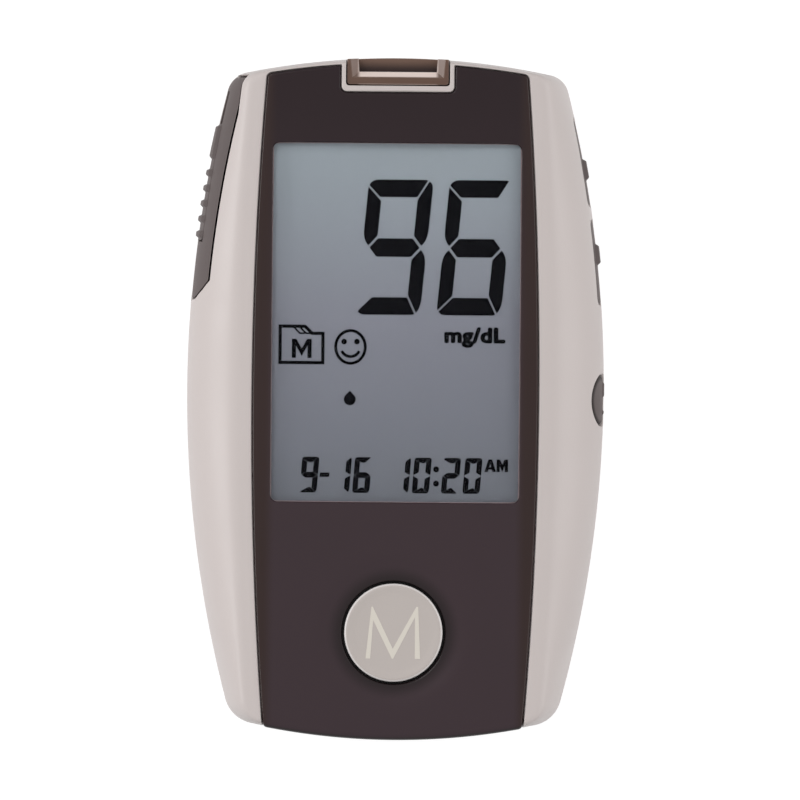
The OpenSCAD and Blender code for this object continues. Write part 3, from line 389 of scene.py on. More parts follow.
class Solid:
    """A closed mesh in millimetres that can be joined with, cut by or kept inside others."""

    def __init__(self, points: np.ndarray, faces: list[Sequence[int]]) -> None:
        """Keep the points and the faces.

        Args:
            points: Corner points, one per row.
            faces: Corner numbers of each face, counter-clockwise from outside.
        """
        self.points = np.asarray(points, float).reshape(-1, 3)
        self.faces = [tuple(int(i) for i in f) for f in faces]

    @classmethod
    def stack(
        cls, rings: Sequence[np.ndarray], top: Surface | None = None, columns: int = 24
    ) -> "Solid":
        """A solid through closed rings, lowest first.

        Args:
            rings: Rings of equal length, counter-clockwise seen from above.
            top: Surface that the upper cap follows, or None for a flat cap. The rings then are
                the points of a Bow, whose halves mirror each other.
            columns: Cells across the upper cap.

        Returns:
            The closed solid.
        """
        n = len(rings[0])
        points = [np.concatenate(rings)]
        faces: list[Sequence[int]] = [list(range(n - 1, -1, -1))]
        for level in range(len(rings) - 1):
            for i in range(n):
                j = (i + 1) % n
                a, b = level * n + i, level * n + j
                faces.append((a, b, b + n, a + n))
        first = (len(rings) - 1) * n
        if top is None:
            faces.append(list(range(first, first + n)))
            return cls(np.concatenate(points), faces)
        half = n // 2
        last = rings[-1]
        count = len(rings) * n
        rows = []
        share = np.linspace(0, 1, columns + 1)[1:-1]
        for i in range(1, half):
            left, right = last[n - i], last[i]
            x = left[0] + (right[0] - left[0]) * share
            y = np.full_like(x, left[1])
            points.append(np.column_stack([x, y, top(x, y)]))
            inner = list(range(count, count + columns - 1))
            rows.append([first + n - i] + inner + [first + i])
            count += columns - 1
        low_end, top_end = first, first + half
        for k in range(columns):
            faces.append((low_end, rows[0][k + 1], rows[0][k]))
            faces.append((rows[-1][k], rows[-1][k + 1], top_end))
        for lower, upper in zip(rows, rows[1:]):
            for k in range(columns):
                faces.append((lower[k], lower[k + 1], upper[k + 1], upper[k]))
        return cls(np.concatenate(points), faces)

    @classmethod
    def prism(cls, outline: Line, low: float, high: float) -> "Solid":
        """An outline extruded between two heights."""
        return cls.stack([at_height(outline, low), at_height(outline, high)])

    @classmethod
    def block(cls, low: Sequence[float], high: Sequence[float]) -> "Solid":
        """A box between two corners."""
        (x0, y0, z0), (x1, y1, z1) = low, high
        return cls.prism(np.array([[x0, y0], [x1, y0], [x1, y1], [x0, y1]]), z0, z1)

    @classmethod
    def cross(cls, outline: Line, low: float, high: float) -> "Solid":
        """An outline in Y and Z extruded along X."""
        solid = cls.prism(outline, low, high)
        solid.points = solid.points[:, [2, 0, 1]]
        return solid

    @classmethod
    def lathe(cls, profile: Sequence[Pair], steps: int = 96) -> "Solid":
        """A profile turned about Z.

        Args:
            profile: Radius and height of each point, from the axis round to the axis again,
                counter-clockwise with the radius to the right.
            steps: Number of sectors.

        Returns:
            The turned solid.
        """
        points: list[tuple[float, float, float]] = []
        rings: list[list[int]] = []
        for radius, height in profile:
            if radius <= 0:
                rings.append([len(points)])
                points.append((0.0, 0.0, height))
                continue
            rings.append(list(range(len(points), len(points) + steps)))
            for x, y in circle(0, 0, radius, steps):
                points.append((x, y, height))
        faces: list[Sequence[int]] = []
        for lower, upper in zip(rings, rings[1:]):
            for i in range(steps):
                j = (i + 1) % steps
                if len(lower) == 1 and len(upper) == 1:
                    continue
                if len(lower) == 1:
                    faces.append((lower[0], upper[j], upper[i]))
                elif len(upper) == 1:
                    faces.append((lower[i], lower[j], upper[0]))
                else:
                    faces.append((lower[i], lower[j], upper[j], upper[i]))
        return cls(np.array(points), faces)

    @classmethod
    def rod(
        cls, x: float, y: float, low: float, high: float, radius: float, steps: int = 48
    ) -> "Solid":
        """An upright cylinder."""
        return cls.prism(circle(x, y, radius, steps), low, high)

    @classmethod
    def grid(cls, outer: np.ndarray, inner: np.ndarray) -> "Solid":
        """A closed slab between two grids of points.

        Args:
            outer: Points of the outer face, rows by columns by 3.
            inner: Points of the inner face, of the same shape.

        Returns:
            The slab.
        """
        rows, columns = outer.shape[:2]
        points = np.concatenate([outer.reshape(-1, 3), inner.reshape(-1, 3)])
        back = rows * columns

        def at(r: int, c: int) -> int:
            """Number of a point of the outer face."""
            return r * columns + c

        faces: list[Sequence[int]] = []
        for r in range(rows - 1):
            for c in range(columns - 1):
                quad = (at(r, c), at(r, c + 1), at(r + 1, c + 1), at(r + 1, c))
                faces.append(quad)
                faces.append(tuple(i + back for i in reversed(quad)))
        rim = [at(0, c) for c in range(columns)]
        rim += [at(r, columns - 1) for r in range(1, rows)]
        rim += [at(rows - 1, c) for c in range(columns - 2, -1, -1)]
        rim += [at(r, 0) for r in range(rows - 2, 0, -1)]
        for a, b in zip(rim, rim[1:] + rim[:1]):
            faces.append((b, a, a + back, b + back))
        return cls(points, faces)

    @classmethod
    def shown_by(cls, holder: bpy.types.Object) -> "Solid":
        """The shape of an object after its modifiers, taken as millimetres."""
        depsgraph = bpy.context.evaluated_depsgraph_get()
        mesh = bpy.data.meshes.new_from_object(holder.evaluated_get(depsgraph))
        points = np.empty(len(mesh.vertices) * 3)
        mesh.vertices.foreach_get("co", points)
        solid = cls(points, [tuple(p.vertices) for p in mesh.polygons])
        bpy.data.meshes.remove(mesh)
        return solid

    def moved(self, x: float = 0, y: float = 0, z: float = 0) -> "Solid":
        """A copy shifted along the axes."""
        return Solid(self.points + [x, y, z], self.faces)

    def turned(self, matrix: Matrix) -> "Solid":
        """A copy moved by a matrix."""
        turn = np.array(matrix.to_3x3())
        return Solid(self.points @ turn.T + np.array(matrix.translation), self.faces)

    def scaled(self, x: float, y: float, z: float, about_z: float = 0) -> "Solid":
        """A copy scaled about the middle axis at a height."""
        shift = np.array([0, 0, about_z])
        return Solid((self.points - shift) * [x, y, z] + shift, self.faces)

    def with_others(self, *others: "Solid") -> "Solid":
        """One mesh that holds this solid and others that lie clear of it."""
        points, faces, first = [self.points], list(self.faces), len(self.points)
        for other in others:
            points.append(other.points)
            faces.extend(tuple(i + first for i in f) for f in other.faces)
            first += len(other.points)
        return Solid(np.concatenate(points), faces)

    def mesh(self, name: str, scale: float = 1.0) -> bpy.types.Mesh:
        """A Blender mesh of the solid.

        Args:
            name: Name of the mesh.
            scale: Factor from millimetres to the mesh's units.

        Returns:
            The mesh, with its normals outwards.
        """
        mesh = bpy.data.meshes.new(name)
        mesh.from_pydata((self.points * scale).tolist(), [], [list(f) for f in self.faces])
        work = bmesh.new()
        work.from_mesh(mesh)
        bmesh.ops.recalc_face_normals(work, faces=work.faces)
        work.to_mesh(mesh)
        work.free()
        return mesh

    def _combined(self, operation: Operation, others: Sequence["Solid"]) -> "Solid":
        """This solid after a boolean operation with each of the others in turn.

        Args:
            operation: The operation.
            others: The other solids.

        Returns:
            The new solid.

        Raises:
            ValueError: When nothing is left.
        """
        base = placed("base", self.mesh("base"))
        tools = [placed("tool", other.mesh("tool")) for other in others]
        for tool in tools:
            modifier = base.modifiers.new("combine", "BOOLEAN")
            modifier.operation = operation.value
            modifier.solver = "MANIFOLD"
            modifier.object = tool
        solid = Solid.shown_by(base)
        for temporary in [base, *tools]:
            data = temporary.data
            bpy.data.objects.remove(temporary)
            bpy.data.meshes.remove(data)
        if not solid.faces:
            raise ValueError(f"{operation.name} left nothing")
        return solid

    def joined(self, *others: "Solid") -> "Solid":
        """This solid fused with others."""
        return self._combined(Operation.JOIN, others)

    def cut(self, *others: "Solid") -> "Solid":
        """This solid less others."""
        return self._combined(Operation.CUT, others)

    def within(self, other: "Solid") -> "Solid":
        """The part of this solid that lies inside another."""
        return self._combined(Operation.COMMON, [other])


def flared(
    line: Callable[[float], Line],
    surface: Surface,
    floor: float,
    radius: float,
    over: float,
    steps: int = 5,
) -> Solid:
    """An upright solid whose wall rounds over as it nears a surface.

    Args:
        line: Gives the outline grown by a distance.
        surface: Height of the surface at given places.
        floor: Height at which the solid starts.
        radius: Radius of the rounding, positive to spread outwards and negative to draw in.
        over: Height at which the solid ends, above the surface.
        steps: Steps of the rounding.

    Returns:
        The solid.
    """
    rings = [at_height(line(0.0), floor)]
    size = abs(radius)
    way = math.copysign(1.0, radius)
    for k in range(steps + 1):
        angle = math.pi / 2 * k / steps
        outline = line(way * size * (1 - math.cos(angle)))
        fall = size * (1 - math.sin(angle))
        rings.append(at_height(outline, surface(outline[:, 0], outline[:, 1]) - fall))
    rings.append(at_height(line(way * size), over))
    return Solid.stack(rings)


# ---------------------------------------------------------------- shader graphs


def linear(*rgb: int) -> Colour:
    """A colour of 0 to 255 per channel as the linear colour that shaders take."""

    def channel(value: int) -> float:
        """One channel in linear light."""
        v = value / 255
        return v / 12.92 if v <= 0.04045 else ((v + 0.055) / 1.055) ** 2.4

    return (channel(rgb[0]), channel(rgb[1]), channel(rgb[2]), 1.0)


class Graph:
    """A short way to write the nodes of a material, a group or a world."""

    def __init__(self, tree: bpy.types.NodeTree) -> None:
        """Wrap a node tree."""
        self.tree = tree

    @classmethod
    def of(cls, owner: bpy.types.Material | bpy.types.World) -> "Graph":
        """The emptied graph of a material or a world."""
        owner.use_nodes = True
        owner.node_tree.nodes.clear()
        return cls(owner.node_tree)

    def node(self, kind: str, **inputs: object) -> bpy.types.Node:
        """Add a node.

        Args:
            kind: The node's type without its ShaderNode prefix.
            **inputs: Property values, and input values or sockets, by name with _ for spaces.

        Returns:
            The node.
        """
        node = self.tree.nodes.new("ShaderNode" + kind)
        for key, value in inputs.items():
            if hasattr(node, key):
                setattr(node, key, value)
            else:
                self.feed(node, key.replace("_", " "), value)
        return node

    def feed(self, node: bpy.types.Node, name: str | int, value: object) -> None:
        """Give an input its value or link it to a socket."""
        socket = node.inputs[name]
        if isinstance(value, bpy.types.NodeSocket):
            self.tree.links.new(value, socket)
        else:
            socket.default_value = value

    def fed(self, kind: str, output: int, inputs: dict[int, object], **options: object) -> Socket:
        """Add a node whose inputs go by number.

        Args:
            kind: The node's type without its ShaderNode prefix.
            output: Number of the output to give back.
            inputs: Input values or sockets by number.
            **options: Property values.

        Returns:
            The output.
        """
        node = self.node(kind, **options)
        for place, value in inputs.items():
            self.feed(node, place, value)
        return node.outputs[output]

    def math(self, operation: str, *values: object, clamp: bool = False) -> Socket:
        """A math node on numbers or sockets."""
        inputs = dict(enumerate(values))
        return self.fed("Math", 0, inputs, operation=operation, use_clamp=clamp)

    def mix(self, factor: object, a: object, b: object, blend: str = "MIX") -> Socket:
        """A mix of two colours."""
        inputs = {0: factor, 6: a, 7: b}
        return self.fed("Mix", 2, inputs, data_type="RGBA", blend_type=blend)

    def blend(self, factor: object, a: object, b: object) -> Socket:
        """A mix of two numbers."""
        return self.fed("Mix", 0, {0: factor, 2: a, 3: b}, data_type="FLOAT")

    def times(self, colour: object, tone: Socket) -> Socket:
        """A colour made lighter or darker by a number."""
        grey = self.node("CombineColor", Red=tone, Green=tone, Blue=tone).outputs[0]
        return self.mix(1.0, colour, grey, "MULTIPLY")

    def step(self, value: object, low: float, high: float, a: float = 0, b: float = 1) -> Socket:
        """A value mapped smoothly from one range to another and held at its ends."""
        inputs = dict(enumerate([value, low, high, a, b]))
        return self.fed("MapRange", 0, inputs, interpolation_type="SMOOTHSTEP")

    def fade(self, value: Socket, ends: Pair, a: float = 0, b: float = 1) -> Socket:
        """A soft step of a length between two ends given in millimetres."""
        return self.step(value, ends[0] * MM, ends[1] * MM, a, b)

    def place(self) -> Socket:
        """The point being shaded, in the object's own coordinates."""
        return self.node("TexCoord").outputs["Object"]

    def axes(self) -> tuple[Socket, Socket, Socket]:
        """The three coordinates of the point being shaded."""
        split = self.node("SeparateXYZ", Vector=self.place())
        return split.outputs[0], split.outputs[1], split.outputs[2]

    def radius(self, x: Socket, y: Socket, centre: Pair) -> Socket:
        """The distance of the point being shaded from an upright axis, given in millimetres."""
        along = self.math("SUBTRACT", x, centre[0] * MM)
        across = self.math("SUBTRACT", y, centre[1] * MM)
        square = self.math("MULTIPLY", along, along)
        return self.math("SQRT", self.math("MULTIPLY_ADD", across, across, square))

    def noise(self, scale: object, detail: float, **inputs: object) -> Socket:
        """A soft noise at the point being shaded."""
        inputs.setdefault("Vector", self.place())
        return self.node("TexNoise", Scale=scale, Detail=detail, **inputs).outputs["Fac"]

    def cells(self, scale: object) -> Socket:
        """The distance to the nearest of some scattered points."""
        return self.node("TexVoronoi", Vector=self.place(), Scale=scale).outputs["Distance"]

    def bump(self, strength: float, height_mm: float, height: Socket) -> Socket:
        """The normal of a surface with a fine relief."""
        node = self.node("Bump", Strength=strength, Distance=height_mm * MM, Height=height)
        return node.outputs[0]

    def principled(self, **inputs: object) -> Socket:
        """A Principled surface."""
        return self.node("BsdfPrincipled", **inputs).outputs[0]


class EffectGroup:
    """A shader effect that several finishes share, built once as a node group."""

    name = "effect"
    inputs: tuple[tuple[str, float], ...] = ()
    outputs: tuple[str, ...] = ()

    def build(self, graph: Graph, given: bpy.types.Node, result: bpy.types.Node) -> None:
        """Draw the group's nodes.

        Args:
            graph: The group's graph.
            given: The node that holds the group's inputs.
            result: The node that takes its outputs.
        """
        raise NotImplementedError

    def tree(self) -> bpy.types.NodeTree:
        """The node group, made at its first use."""
        found = bpy.data.node_groups.get(self.name)
        if found:
            return found
        tree = bpy.data.node_groups.new(self.name, "ShaderNodeTree")
        kind = "NodeSocketFloat"
        for label, value in self.inputs:
            socket = tree.interface.new_socket(label, in_out="INPUT", socket_type=kind)
            socket.default_value = value
        for label in self.outputs:
            tree.interface.new_socket(label, in_out="OUTPUT", socket_type=kind)
        given = tree.nodes.new("NodeGroupInput")
        self.build(Graph(tree), given, tree.nodes.new("NodeGroupOutput"))
        return tree

    def placed(self, graph: Graph, **values: object) -> Socket:
        """Place the group in a material.

        Args:
            graph: The material's graph.
            **values: Input values by name, with _ for spaces.

        Returns:
            The outputs of the group's node.
        """
        node = graph.tree.nodes.new("ShaderNodeGroup")
        node.node_tree = self.tree()
        for key, value in values.items():
            graph.feed(node, key.replace("_", " "), value)
        return node.outputs


class MouldGrain(EffectGroup):
    """The fine spark-eroded grain of moulded plastic."""

    name = "mould_grain"
    inputs = (("Grain per mm", 4.0), ("Softness", 0.5))
    outputs = ("Height", "Tone")

    def build(self, graph: Graph, given: bpy.types.Node, result: bpy.types.Node) -> None:
        """Draw the grain's nodes; see EffectGroup.build for the arguments."""
        scale = graph.math("MULTIPLY", given.outputs["Grain per mm"], 1 / MM)
        fine = graph.noise(scale, 3.0, Roughness=0.65)
        pits = graph.step(graph.cells(scale), 0.1, 0.7)
        graph.feed(result, "Height", graph.blend(given.outputs["Softness"], pits, fine))
        graph.feed(result, "Tone", graph.noise(0.06 / MM, 4.0, Roughness=0.55))


class EdgeWear(EffectGroup):
    """Where corners have been rubbed by hands and pouches."""

    name = "edge_wear"
    inputs = (("Radius mm", 0.35), ("Patchiness", 0.6))
    outputs = ("Mask",)

    def build(self, graph: Graph, given: bpy.types.Node, result: bpy.types.Node) -> None:
        """Draw the wear's nodes; see EffectGroup.build for the arguments."""
        radius = graph.math("MULTIPLY", given.outputs["Radius mm"], MM)
        bevel = graph.node("Bevel", Radius=radius, samples=4).outputs[0]
        flat = graph.node("NewGeometry").outputs["Normal"]
        dot = graph.fed("VectorMath", 1, {0: bevel, 1: flat}, operation="DOT_PRODUCT")
        edge = graph.step(dot, 0.995, 0.8)
        patch = graph.step(graph.noise(0.5 / MM, 5.0), 0.35, 0.65)
        share = graph.blend(given.outputs["Patchiness"], 1.0, patch)
        graph.feed(result, "Mask", graph.math("MULTIPLY", edge, share, clamp=True))


class Handling(EffectGroup):
    """Faint smears that change the gloss of a handled surface."""

    name = "handling"
    inputs = (("Smears per mm", 0.05),)
    outputs = ("Smear",)

    def build(self, graph: Graph, given: bpy.types.Node, result: bpy.types.Node) -> None:
        """Draw the smears' nodes; see EffectGroup.build for the arguments."""
        scale = graph.math("MULTIPLY", given.outputs["Smears per mm"], 1 / MM)
        smear = graph.noise(scale, 6.0, Distortion=1.6)
        graph.feed(result, "Smear", graph.step(smear, 0.3, 0.7))


# ---------------------------------------------------------------- finishes


@dataclass(frozen=True)
class Finish:
    """What every finish shares: a name and a way to make its material once."""

    name: str

    def material(self) -> bpy.types.Material:
        """The finish's material, made at its first use."""
        found = bpy.data.materials.get(self.name)
        if found:
            return found
        material = bpy.data.materials.new(self.name)
        graph = Graph.of(material)
        graph.node("OutputMaterial", Surface=self.shader(graph))
        return material

    def shader(self, graph: Graph) -> Socket:
        """The surface shader.

        Args:
            graph: The material's graph.

        Returns:
            The shader's output socket.
        """
        raise NotImplementedError


@dataclass(frozen=True)
class Moulded(Finish):
    """Moulded plastic or rubber with grain, rubbed corners and smears."""

    colour: Rgb = (200, 190, 186)
    worn: Rgb = (226, 220, 216)
    roughness: float = 0.45
    gloss: float = 0.5
    grain_per_mm: float = 4.0
    grain_mm: float = 0.01
    variation: float = 0.05
    wear: float = 0.35
    wear_mm: float = 0.35
    coat: float = 0.0
    bleed: float = 0.0
    smear_rough: float = 0.08
    worn_smooth: float = 0.12

    def base(self, graph: Graph) -> Socket | Colour:
        """The colour before variation and wear.

        Args:
            graph: The material's graph.

        Returns:
            The colour, or a socket that gives it.
        """
        return linear(*self.colour)

    def shader(self, graph: Graph) -> Socket:
        """Grained plastic; see Finish.shader for the arguments."""
        grain = MouldGrain().placed(graph, Grain_per_mm=self.grain_per_mm)
        wear = EdgeWear().placed(graph, Radius_mm=self.wear_mm)["Mask"]
        smear = Handling().placed(graph)["Smear"]
        tone = graph.math("SUBTRACT", grain["Tone"], 0.5)
        tone = graph.math("MULTIPLY_ADD", tone, 2 * self.variation, 1.0)
        rubbed = graph.math("MULTIPLY", wear, self.wear)
        base_rough = self.roughness - self.smear_rough / 2
        dull = graph.math("MULTIPLY_ADD", smear, self.smear_rough, base_rough)
        return graph.principled(
            Base_Color=graph.mix(rubbed, graph.times(self.base(graph), tone), linear(*self.worn)),
            Roughness=graph.math("MULTIPLY_ADD", rubbed, -self.worn_smooth, dull, clamp=True),
            Normal=graph.bump(0.6, self.grain_mm, grain["Height"]),
            Specular_IOR_Level=self.gloss,
            Coat_Weight=self.coat,
            Coat_Roughness=0.12,
            Subsurface_Weight=self.bleed,
            Subsurface_Scale=0.4 * MM,
        )


@dataclass(frozen=True)
class CoverPlastic(Moulded):
    """The dark glossy front cover, with a browner band along each side."""

    band: Rgb = (50, 34, 32)
    upper: Rgb = (38, 24, 28)
    band_x: float = 17.6
    band_fall: float = 0.9
    rise_y: Pair = (0.0, 46.0)
    # Painted shade: where it lies round the key and along the rounded lower end, and its colour.
    key: Pair = (0.0, -32.9)
    key_shade_r: Pair = (9.6, 7.2)
    shade: Rgb = (28, 19, 20)
    end_y: float = 49.0
    end_r: Pair = (96.5, 96.8)
    end_shade_z: Pair = (21.4, 22.4)

    def base(self, graph: Graph) -> Socket:
        """Darker to the port, painted shade round the key and at the lower end; see Moulded.base."""
        x, y, z = graph.axes()
        shade = linear(*self.shade)
        band_ends = (self.band_x - self.band_fall, self.band_x + self.band_fall)
        side = graph.fade(graph.math("ABSOLUTE", x), band_ends)
        rise = graph.fade(y, self.rise_y)
        middle = graph.mix(rise, linear(*self.colour), linear(*self.upper))
        # Painted shade round the key, where the dish falls towards it.
        near = graph.fade(graph.radius(x, y, self.key), self.key_shade_r, 0.0, 0.85)
        colour = graph.mix(side, graph.mix(near, middle, shade), linear(*self.band))
        # Painted shade on the rounded lower end, where the cover rolls away from the light.
        end = graph.fade(graph.radius(x, y, (0.0, self.end_y)), self.end_r, 0.0, 0.9)
        end = graph.math("MULTIPLY", end, graph.fade(z, self.end_shade_z))
        return graph.mix(end, colour, shade)


@dataclass(frozen=True)
class PortPlastic(Moulded):
    """The brown strip port, with a painted highlight on the lip where the strip slides in."""

    # The colour of the painted highlight on the lip's slope.
    lip: Rgb = (250, 230, 222)
    # Painted shade deep down in the funnel, and painted light at its open end.
    throat_shade: Rgb = (46, 20, 16)
    outer: Rgb = (127, 98, 83)
    slope_z: Pair = (22.55, 22.65)
    top_z: Pair = (23.59, 23.5)
    throat_shade_y: Pair = (47.7, 46.1)
    inside_y: Pair = (45.7, 45.8)
    arm_x: Pair = (5.2, 5.8)
    lip_highlight_y: Pair = (44.95, 45.4)

    def base(self, graph: Graph) -> Socket:
        """Painted highlight on the funnel's slopes, painted shade deep in it and painted light at its
        open end; see Moulded.base.
        """
        x, y, z = graph.axes()
        above = graph.fade(z, self.slope_z)
        slope = graph.math("MULTIPLY", above, graph.fade(z, self.top_z))
        inside = graph.fade(y, self.inside_y)
        down = graph.math("MULTIPLY", graph.math("SUBTRACT", 1.0, above), inside)
        # Painted shade down in the funnel, with painted light at its open end.
        deep = graph.fade(y, self.throat_shade_y)
        mouth = graph.mix(deep, linear(*self.outer), linear(*self.throat_shade))
        colour = graph.mix(down, linear(*self.colour), mouth)
        # Painted highlight on the lip's slope, fading out towards the arms.
        arm = graph.fade(graph.math("ABSOLUTE", x), self.arm_x, 1.0, 0.1)
        lip = graph.math("MULTIPLY", arm, graph.fade(y, self.lip_highlight_y, 0.6, 1.0))
        return graph.mix(graph.math("MULTIPLY", slope, lip), colour, linear(*self.lip))


@dataclass(frozen=True)
class KeyPlastic(Moulded):
    """The main key's plastic, with a painted highlight on its rim and painted shade low down in the
    gap.
    """

    # Colours of the painted highlight on the rim and the painted shade low down in the gap.
    rim: Rgb = (240, 234, 232)
    gap_shade: Rgb = (24, 18, 20)
    centre: Pair = (0.0, 0.0)
    rim_highlight_r: float = 6.68
    rim_highlight_soft: float = 0.08
    gap_shade_z: float = 23.2
    gap_shade_fall: float = 0.3

    def base(self, graph: Graph) -> Socket:
        """By the distance from the key's axis and by height; see Moulded.base."""
        x, y, z = graph.axes()
        # Painted highlight on a narrow ring at the rim.
        rim_ends = (self.rim_highlight_r - self.rim_highlight_soft, self.rim_highlight_r + self.rim_highlight_soft)
        edge = graph.fade(graph.radius(x, y, self.centre), rim_ends)
        # Painted shade on the lower part of the key, down in the gap round it.
        low = graph.fade(z, (self.gap_shade_z, self.gap_shade_z - self.gap_shade_fall))
        colour = graph.mix(edge, linear(*self.colour), linear(*self.rim))
        return graph.mix(low, colour, linear(*self.gap_shade))


@dataclass(frozen=True)
class RoundKey(Moulded):
    """The rubber of the round side key, with painted shade round its edge where it sits in its recess.
    """

    recess_shade: Rgb = (46, 38, 37)
    centre: Pair = (0.0, 14.6)
    recess_shade_r: Pair = (2.6, 3.25)

    def base(self, graph: Graph) -> Socket:
        """By the distance from the key's middle; see Moulded.base."""
        _, y, z = graph.axes()
        # Painted shade towards the key's edge, where the recess round it lies in shadow.
        near = graph.fade(graph.radius(y, z, self.centre), self.recess_shade_r)
        return graph.mix(near, linear(*self.colour), linear(*self.recess_shade))


@dataclass(frozen=True)
class DisplayFace(Finish):
    """The grey face of the liquid crystal display, with painted reflection paler towards the strip
    port.
    """

    # Greys of the painted reflection, from the port's end down.
    top: Rgb = (130, 137, 142)
    middle: Rgb = (113, 114, 122)
    low: Rgb = (94, 96, 102)
    reflection_fall_y: Pair = (-14.6, 35.9)
    roughness: float = 0.35
    # Painted shade: a darker patch right of the middle.
    shade_patch: float = 0.05
    shade_patch_ends: tuple[Pair, Pair, Pair] = ((-6, 18), (-12, 6), (30, 12))
    # Painted highlight along the edge of the lens.
    edge: Rgb = (134, 118, 120)
    edge_highlight_ends: Pair = (-0.14, -0.02)
    sight: tuple[float, float, float, float] = (0.0, 10.6, 17.4, 25.2)

    def greys(self, graph: Graph, y: Socket) -> Socket:
        """The painted reflection: a fall of greys along the display.

        Args:
            graph: The material's graph.
            y: The level of the point being shaded.

        Returns:
            The colour.
        """
        low, high = self.reflection_fall_y
        share = graph.fed("MapRange", 0, {0: y, 1: low * MM, 2: high * MM, 3: 0.0, 4: 1.0}, clamp=True)
        ramp = graph.node("ValToRGB")
        stops = ramp.color_ramp.elements
        stops[0].color = linear(*self.low)
        stops[1].color = linear(*self.top)
        stops.new(0.5).color = linear(*self.middle)
        graph.feed(ramp, 0, share)
        return ramp.outputs[0]

    def shader(self, graph: Graph) -> Socket:
        """Painted reflection and shade, a faint mottle and a painted edge highlight; see
        Finish.shader.
        """
        x, y, _ = graph.axes()
        # Painted shade as a darker patch right of the middle, on a faint random mottle.
        right, low, high = [graph.fade(v, e) for v, e in zip((x, y, y), self.shade_patch_ends)]
        shade_patch = graph.math("MULTIPLY", right, graph.math("MULTIPLY", low, high))
        shade = graph.math("MULTIPLY_ADD", graph.noise(0.05 / MM, 2.0), 0.06, 0.97)
        shade = graph.math("MULTIPLY_ADD", shade_patch, -self.shade_patch, shade)
        # Painted highlight along the window's edge, in a thin band just inside the lens outline.
        away = []
        for value, middle, half in zip((x, y), self.sight[:2], self.sight[2:]):
            offset = graph.math("ABSOLUTE", graph.math("SUBTRACT", value, middle * MM))
            away.append(graph.math("SUBTRACT", offset, half * MM))
        band = graph.fade(graph.math("MAXIMUM", *away), self.edge_highlight_ends)
        return graph.principled(
            Base_Color=graph.mix(band, graph.times(self.greys(graph, y), shade), linear(*self.edge)),
            Roughness=graph.math("MULTIPLY_ADD", graph.noise(9 / MM, 2.0), 0.1, self.roughness),
            Specular_IOR_Level=0.1,
        )


@dataclass(frozen=True)
class ClearLens(Finish):
    """The clear display window, with a light coat of smears."""

    tint: Rgb = (250, 251, 252)

    def shader(self, graph: Graph) -> Socket:
        """Clear glass that lets lamp light through; see Finish.shader."""
        smear = Handling().placed(graph, Smears_per_mm=0.09)["Smear"]
        glass = graph.principled(
            Base_Color=linear(*self.tint),
            Roughness=graph.math("MULTIPLY_ADD", smear, 0.015, 0.0),
            Transmission_Weight=1.0,
            IOR=1.1,
        )
        clear = graph.node("BsdfTransparent").outputs[0]
        lamp_ray = graph.node("LightPath").outputs["Is Shadow Ray"]
        return graph.fed("MixShader", 0, {0: lamp_ray, 1: glass, 2: clear})


@dataclass(frozen=True)
class Ink(Finish):
    """A printed or switched dark mark, slightly uneven."""

    colour: Rgb = (2, 2, 5)
    roughness: float = 0.5

    def shader(self, graph: Graph) -> Socket:
        """Flat ink with a faint mottle; see Finish.shader."""
        cloud = graph.noise(1.2 / MM, 3.0)
        shade = graph.math("MULTIPLY_ADD", cloud, 0.3, 0.85)
        return graph.principled(
            Base_Color=graph.times(linear(*self.colour), shade),
            Roughness=graph.math("MULTIPLY_ADD", cloud, 0.1, self.roughness),
            Specular_IOR_Level=0.03,
        )


@dataclass(frozen=True)
class Metal(Finish):
    """Plated or brushed metal, with fine scratches and dull spots."""

    colour: Rgb = (196, 194, 190)
    roughness: float = 0.28
    scratch_per_mm: float = 6.0
    dull: Colour = (0.42, 0.41, 0.4, 1.0)
    bright: Colour = (0.9, 0.9, 0.9, 1.0)

    def shader(self, graph: Graph) -> Socket:
        """Metal with scratches; see Finish.shader for the arguments."""
        stretch = graph.node("Mapping", Vector=graph.place(), Scale=(1.0, 0.08, 1.0)).outputs[0]
        lines = graph.noise(self.scratch_per_mm / MM, 3.0, Vector=stretch)
        cloud = graph.noise(0.8 / MM, 4.0)
        rough = graph.math("MULTIPLY_ADD", lines, 0.16, self.roughness - 0.08)
        colour = linear(*self.colour)
        wear = EdgeWear().placed(graph, Radius_mm=0.15)["Mask"]
        spotted = graph.mix(0.7, graph.mix(cloud, colour, self.dull), colour)
        return graph.principled(
            Base_Color=graph.mix(wear, spotted, self.bright),
            Roughness=graph.math("MULTIPLY_ADD", cloud, 0.12, rough, clamp=True),
            Metallic=1.0,
            Normal=graph.bump(0.3, 0.004, lines),
        )


@dataclass(frozen=True)
class CircuitBoard(Finish):
    """Solder mask with tracks and tinned dots under it."""

    mask: Rgb = (18, 92, 52)
    track: Rgb = (34, 120, 70)
    tin: Rgb = (196, 190, 170)

    def shader(self, graph: Graph) -> Socket:
        """Green board; see Finish.shader for the arguments."""
        bricks = graph.node("TexBrick", Vector=graph.place(), Scale=0.7 / MM, Mortar_Size=0.03)
        tracks = graph.math("SUBTRACT", 1.0, bricks.outputs["Fac"], clamp=True)
        colour = graph.mix(tracks, linear(*self.track), linear(*self.mask))
        pads = graph.step(graph.cells(0.45 / MM), 0.14, 0.11)
        return graph.principled(
            Base_Color=graph.mix(pads, colour, linear(*self.tin)),
            Roughness=graph.math("MULTIPLY_ADD", pads, -0.05, 0.4),
            Metallic=pads,
        )


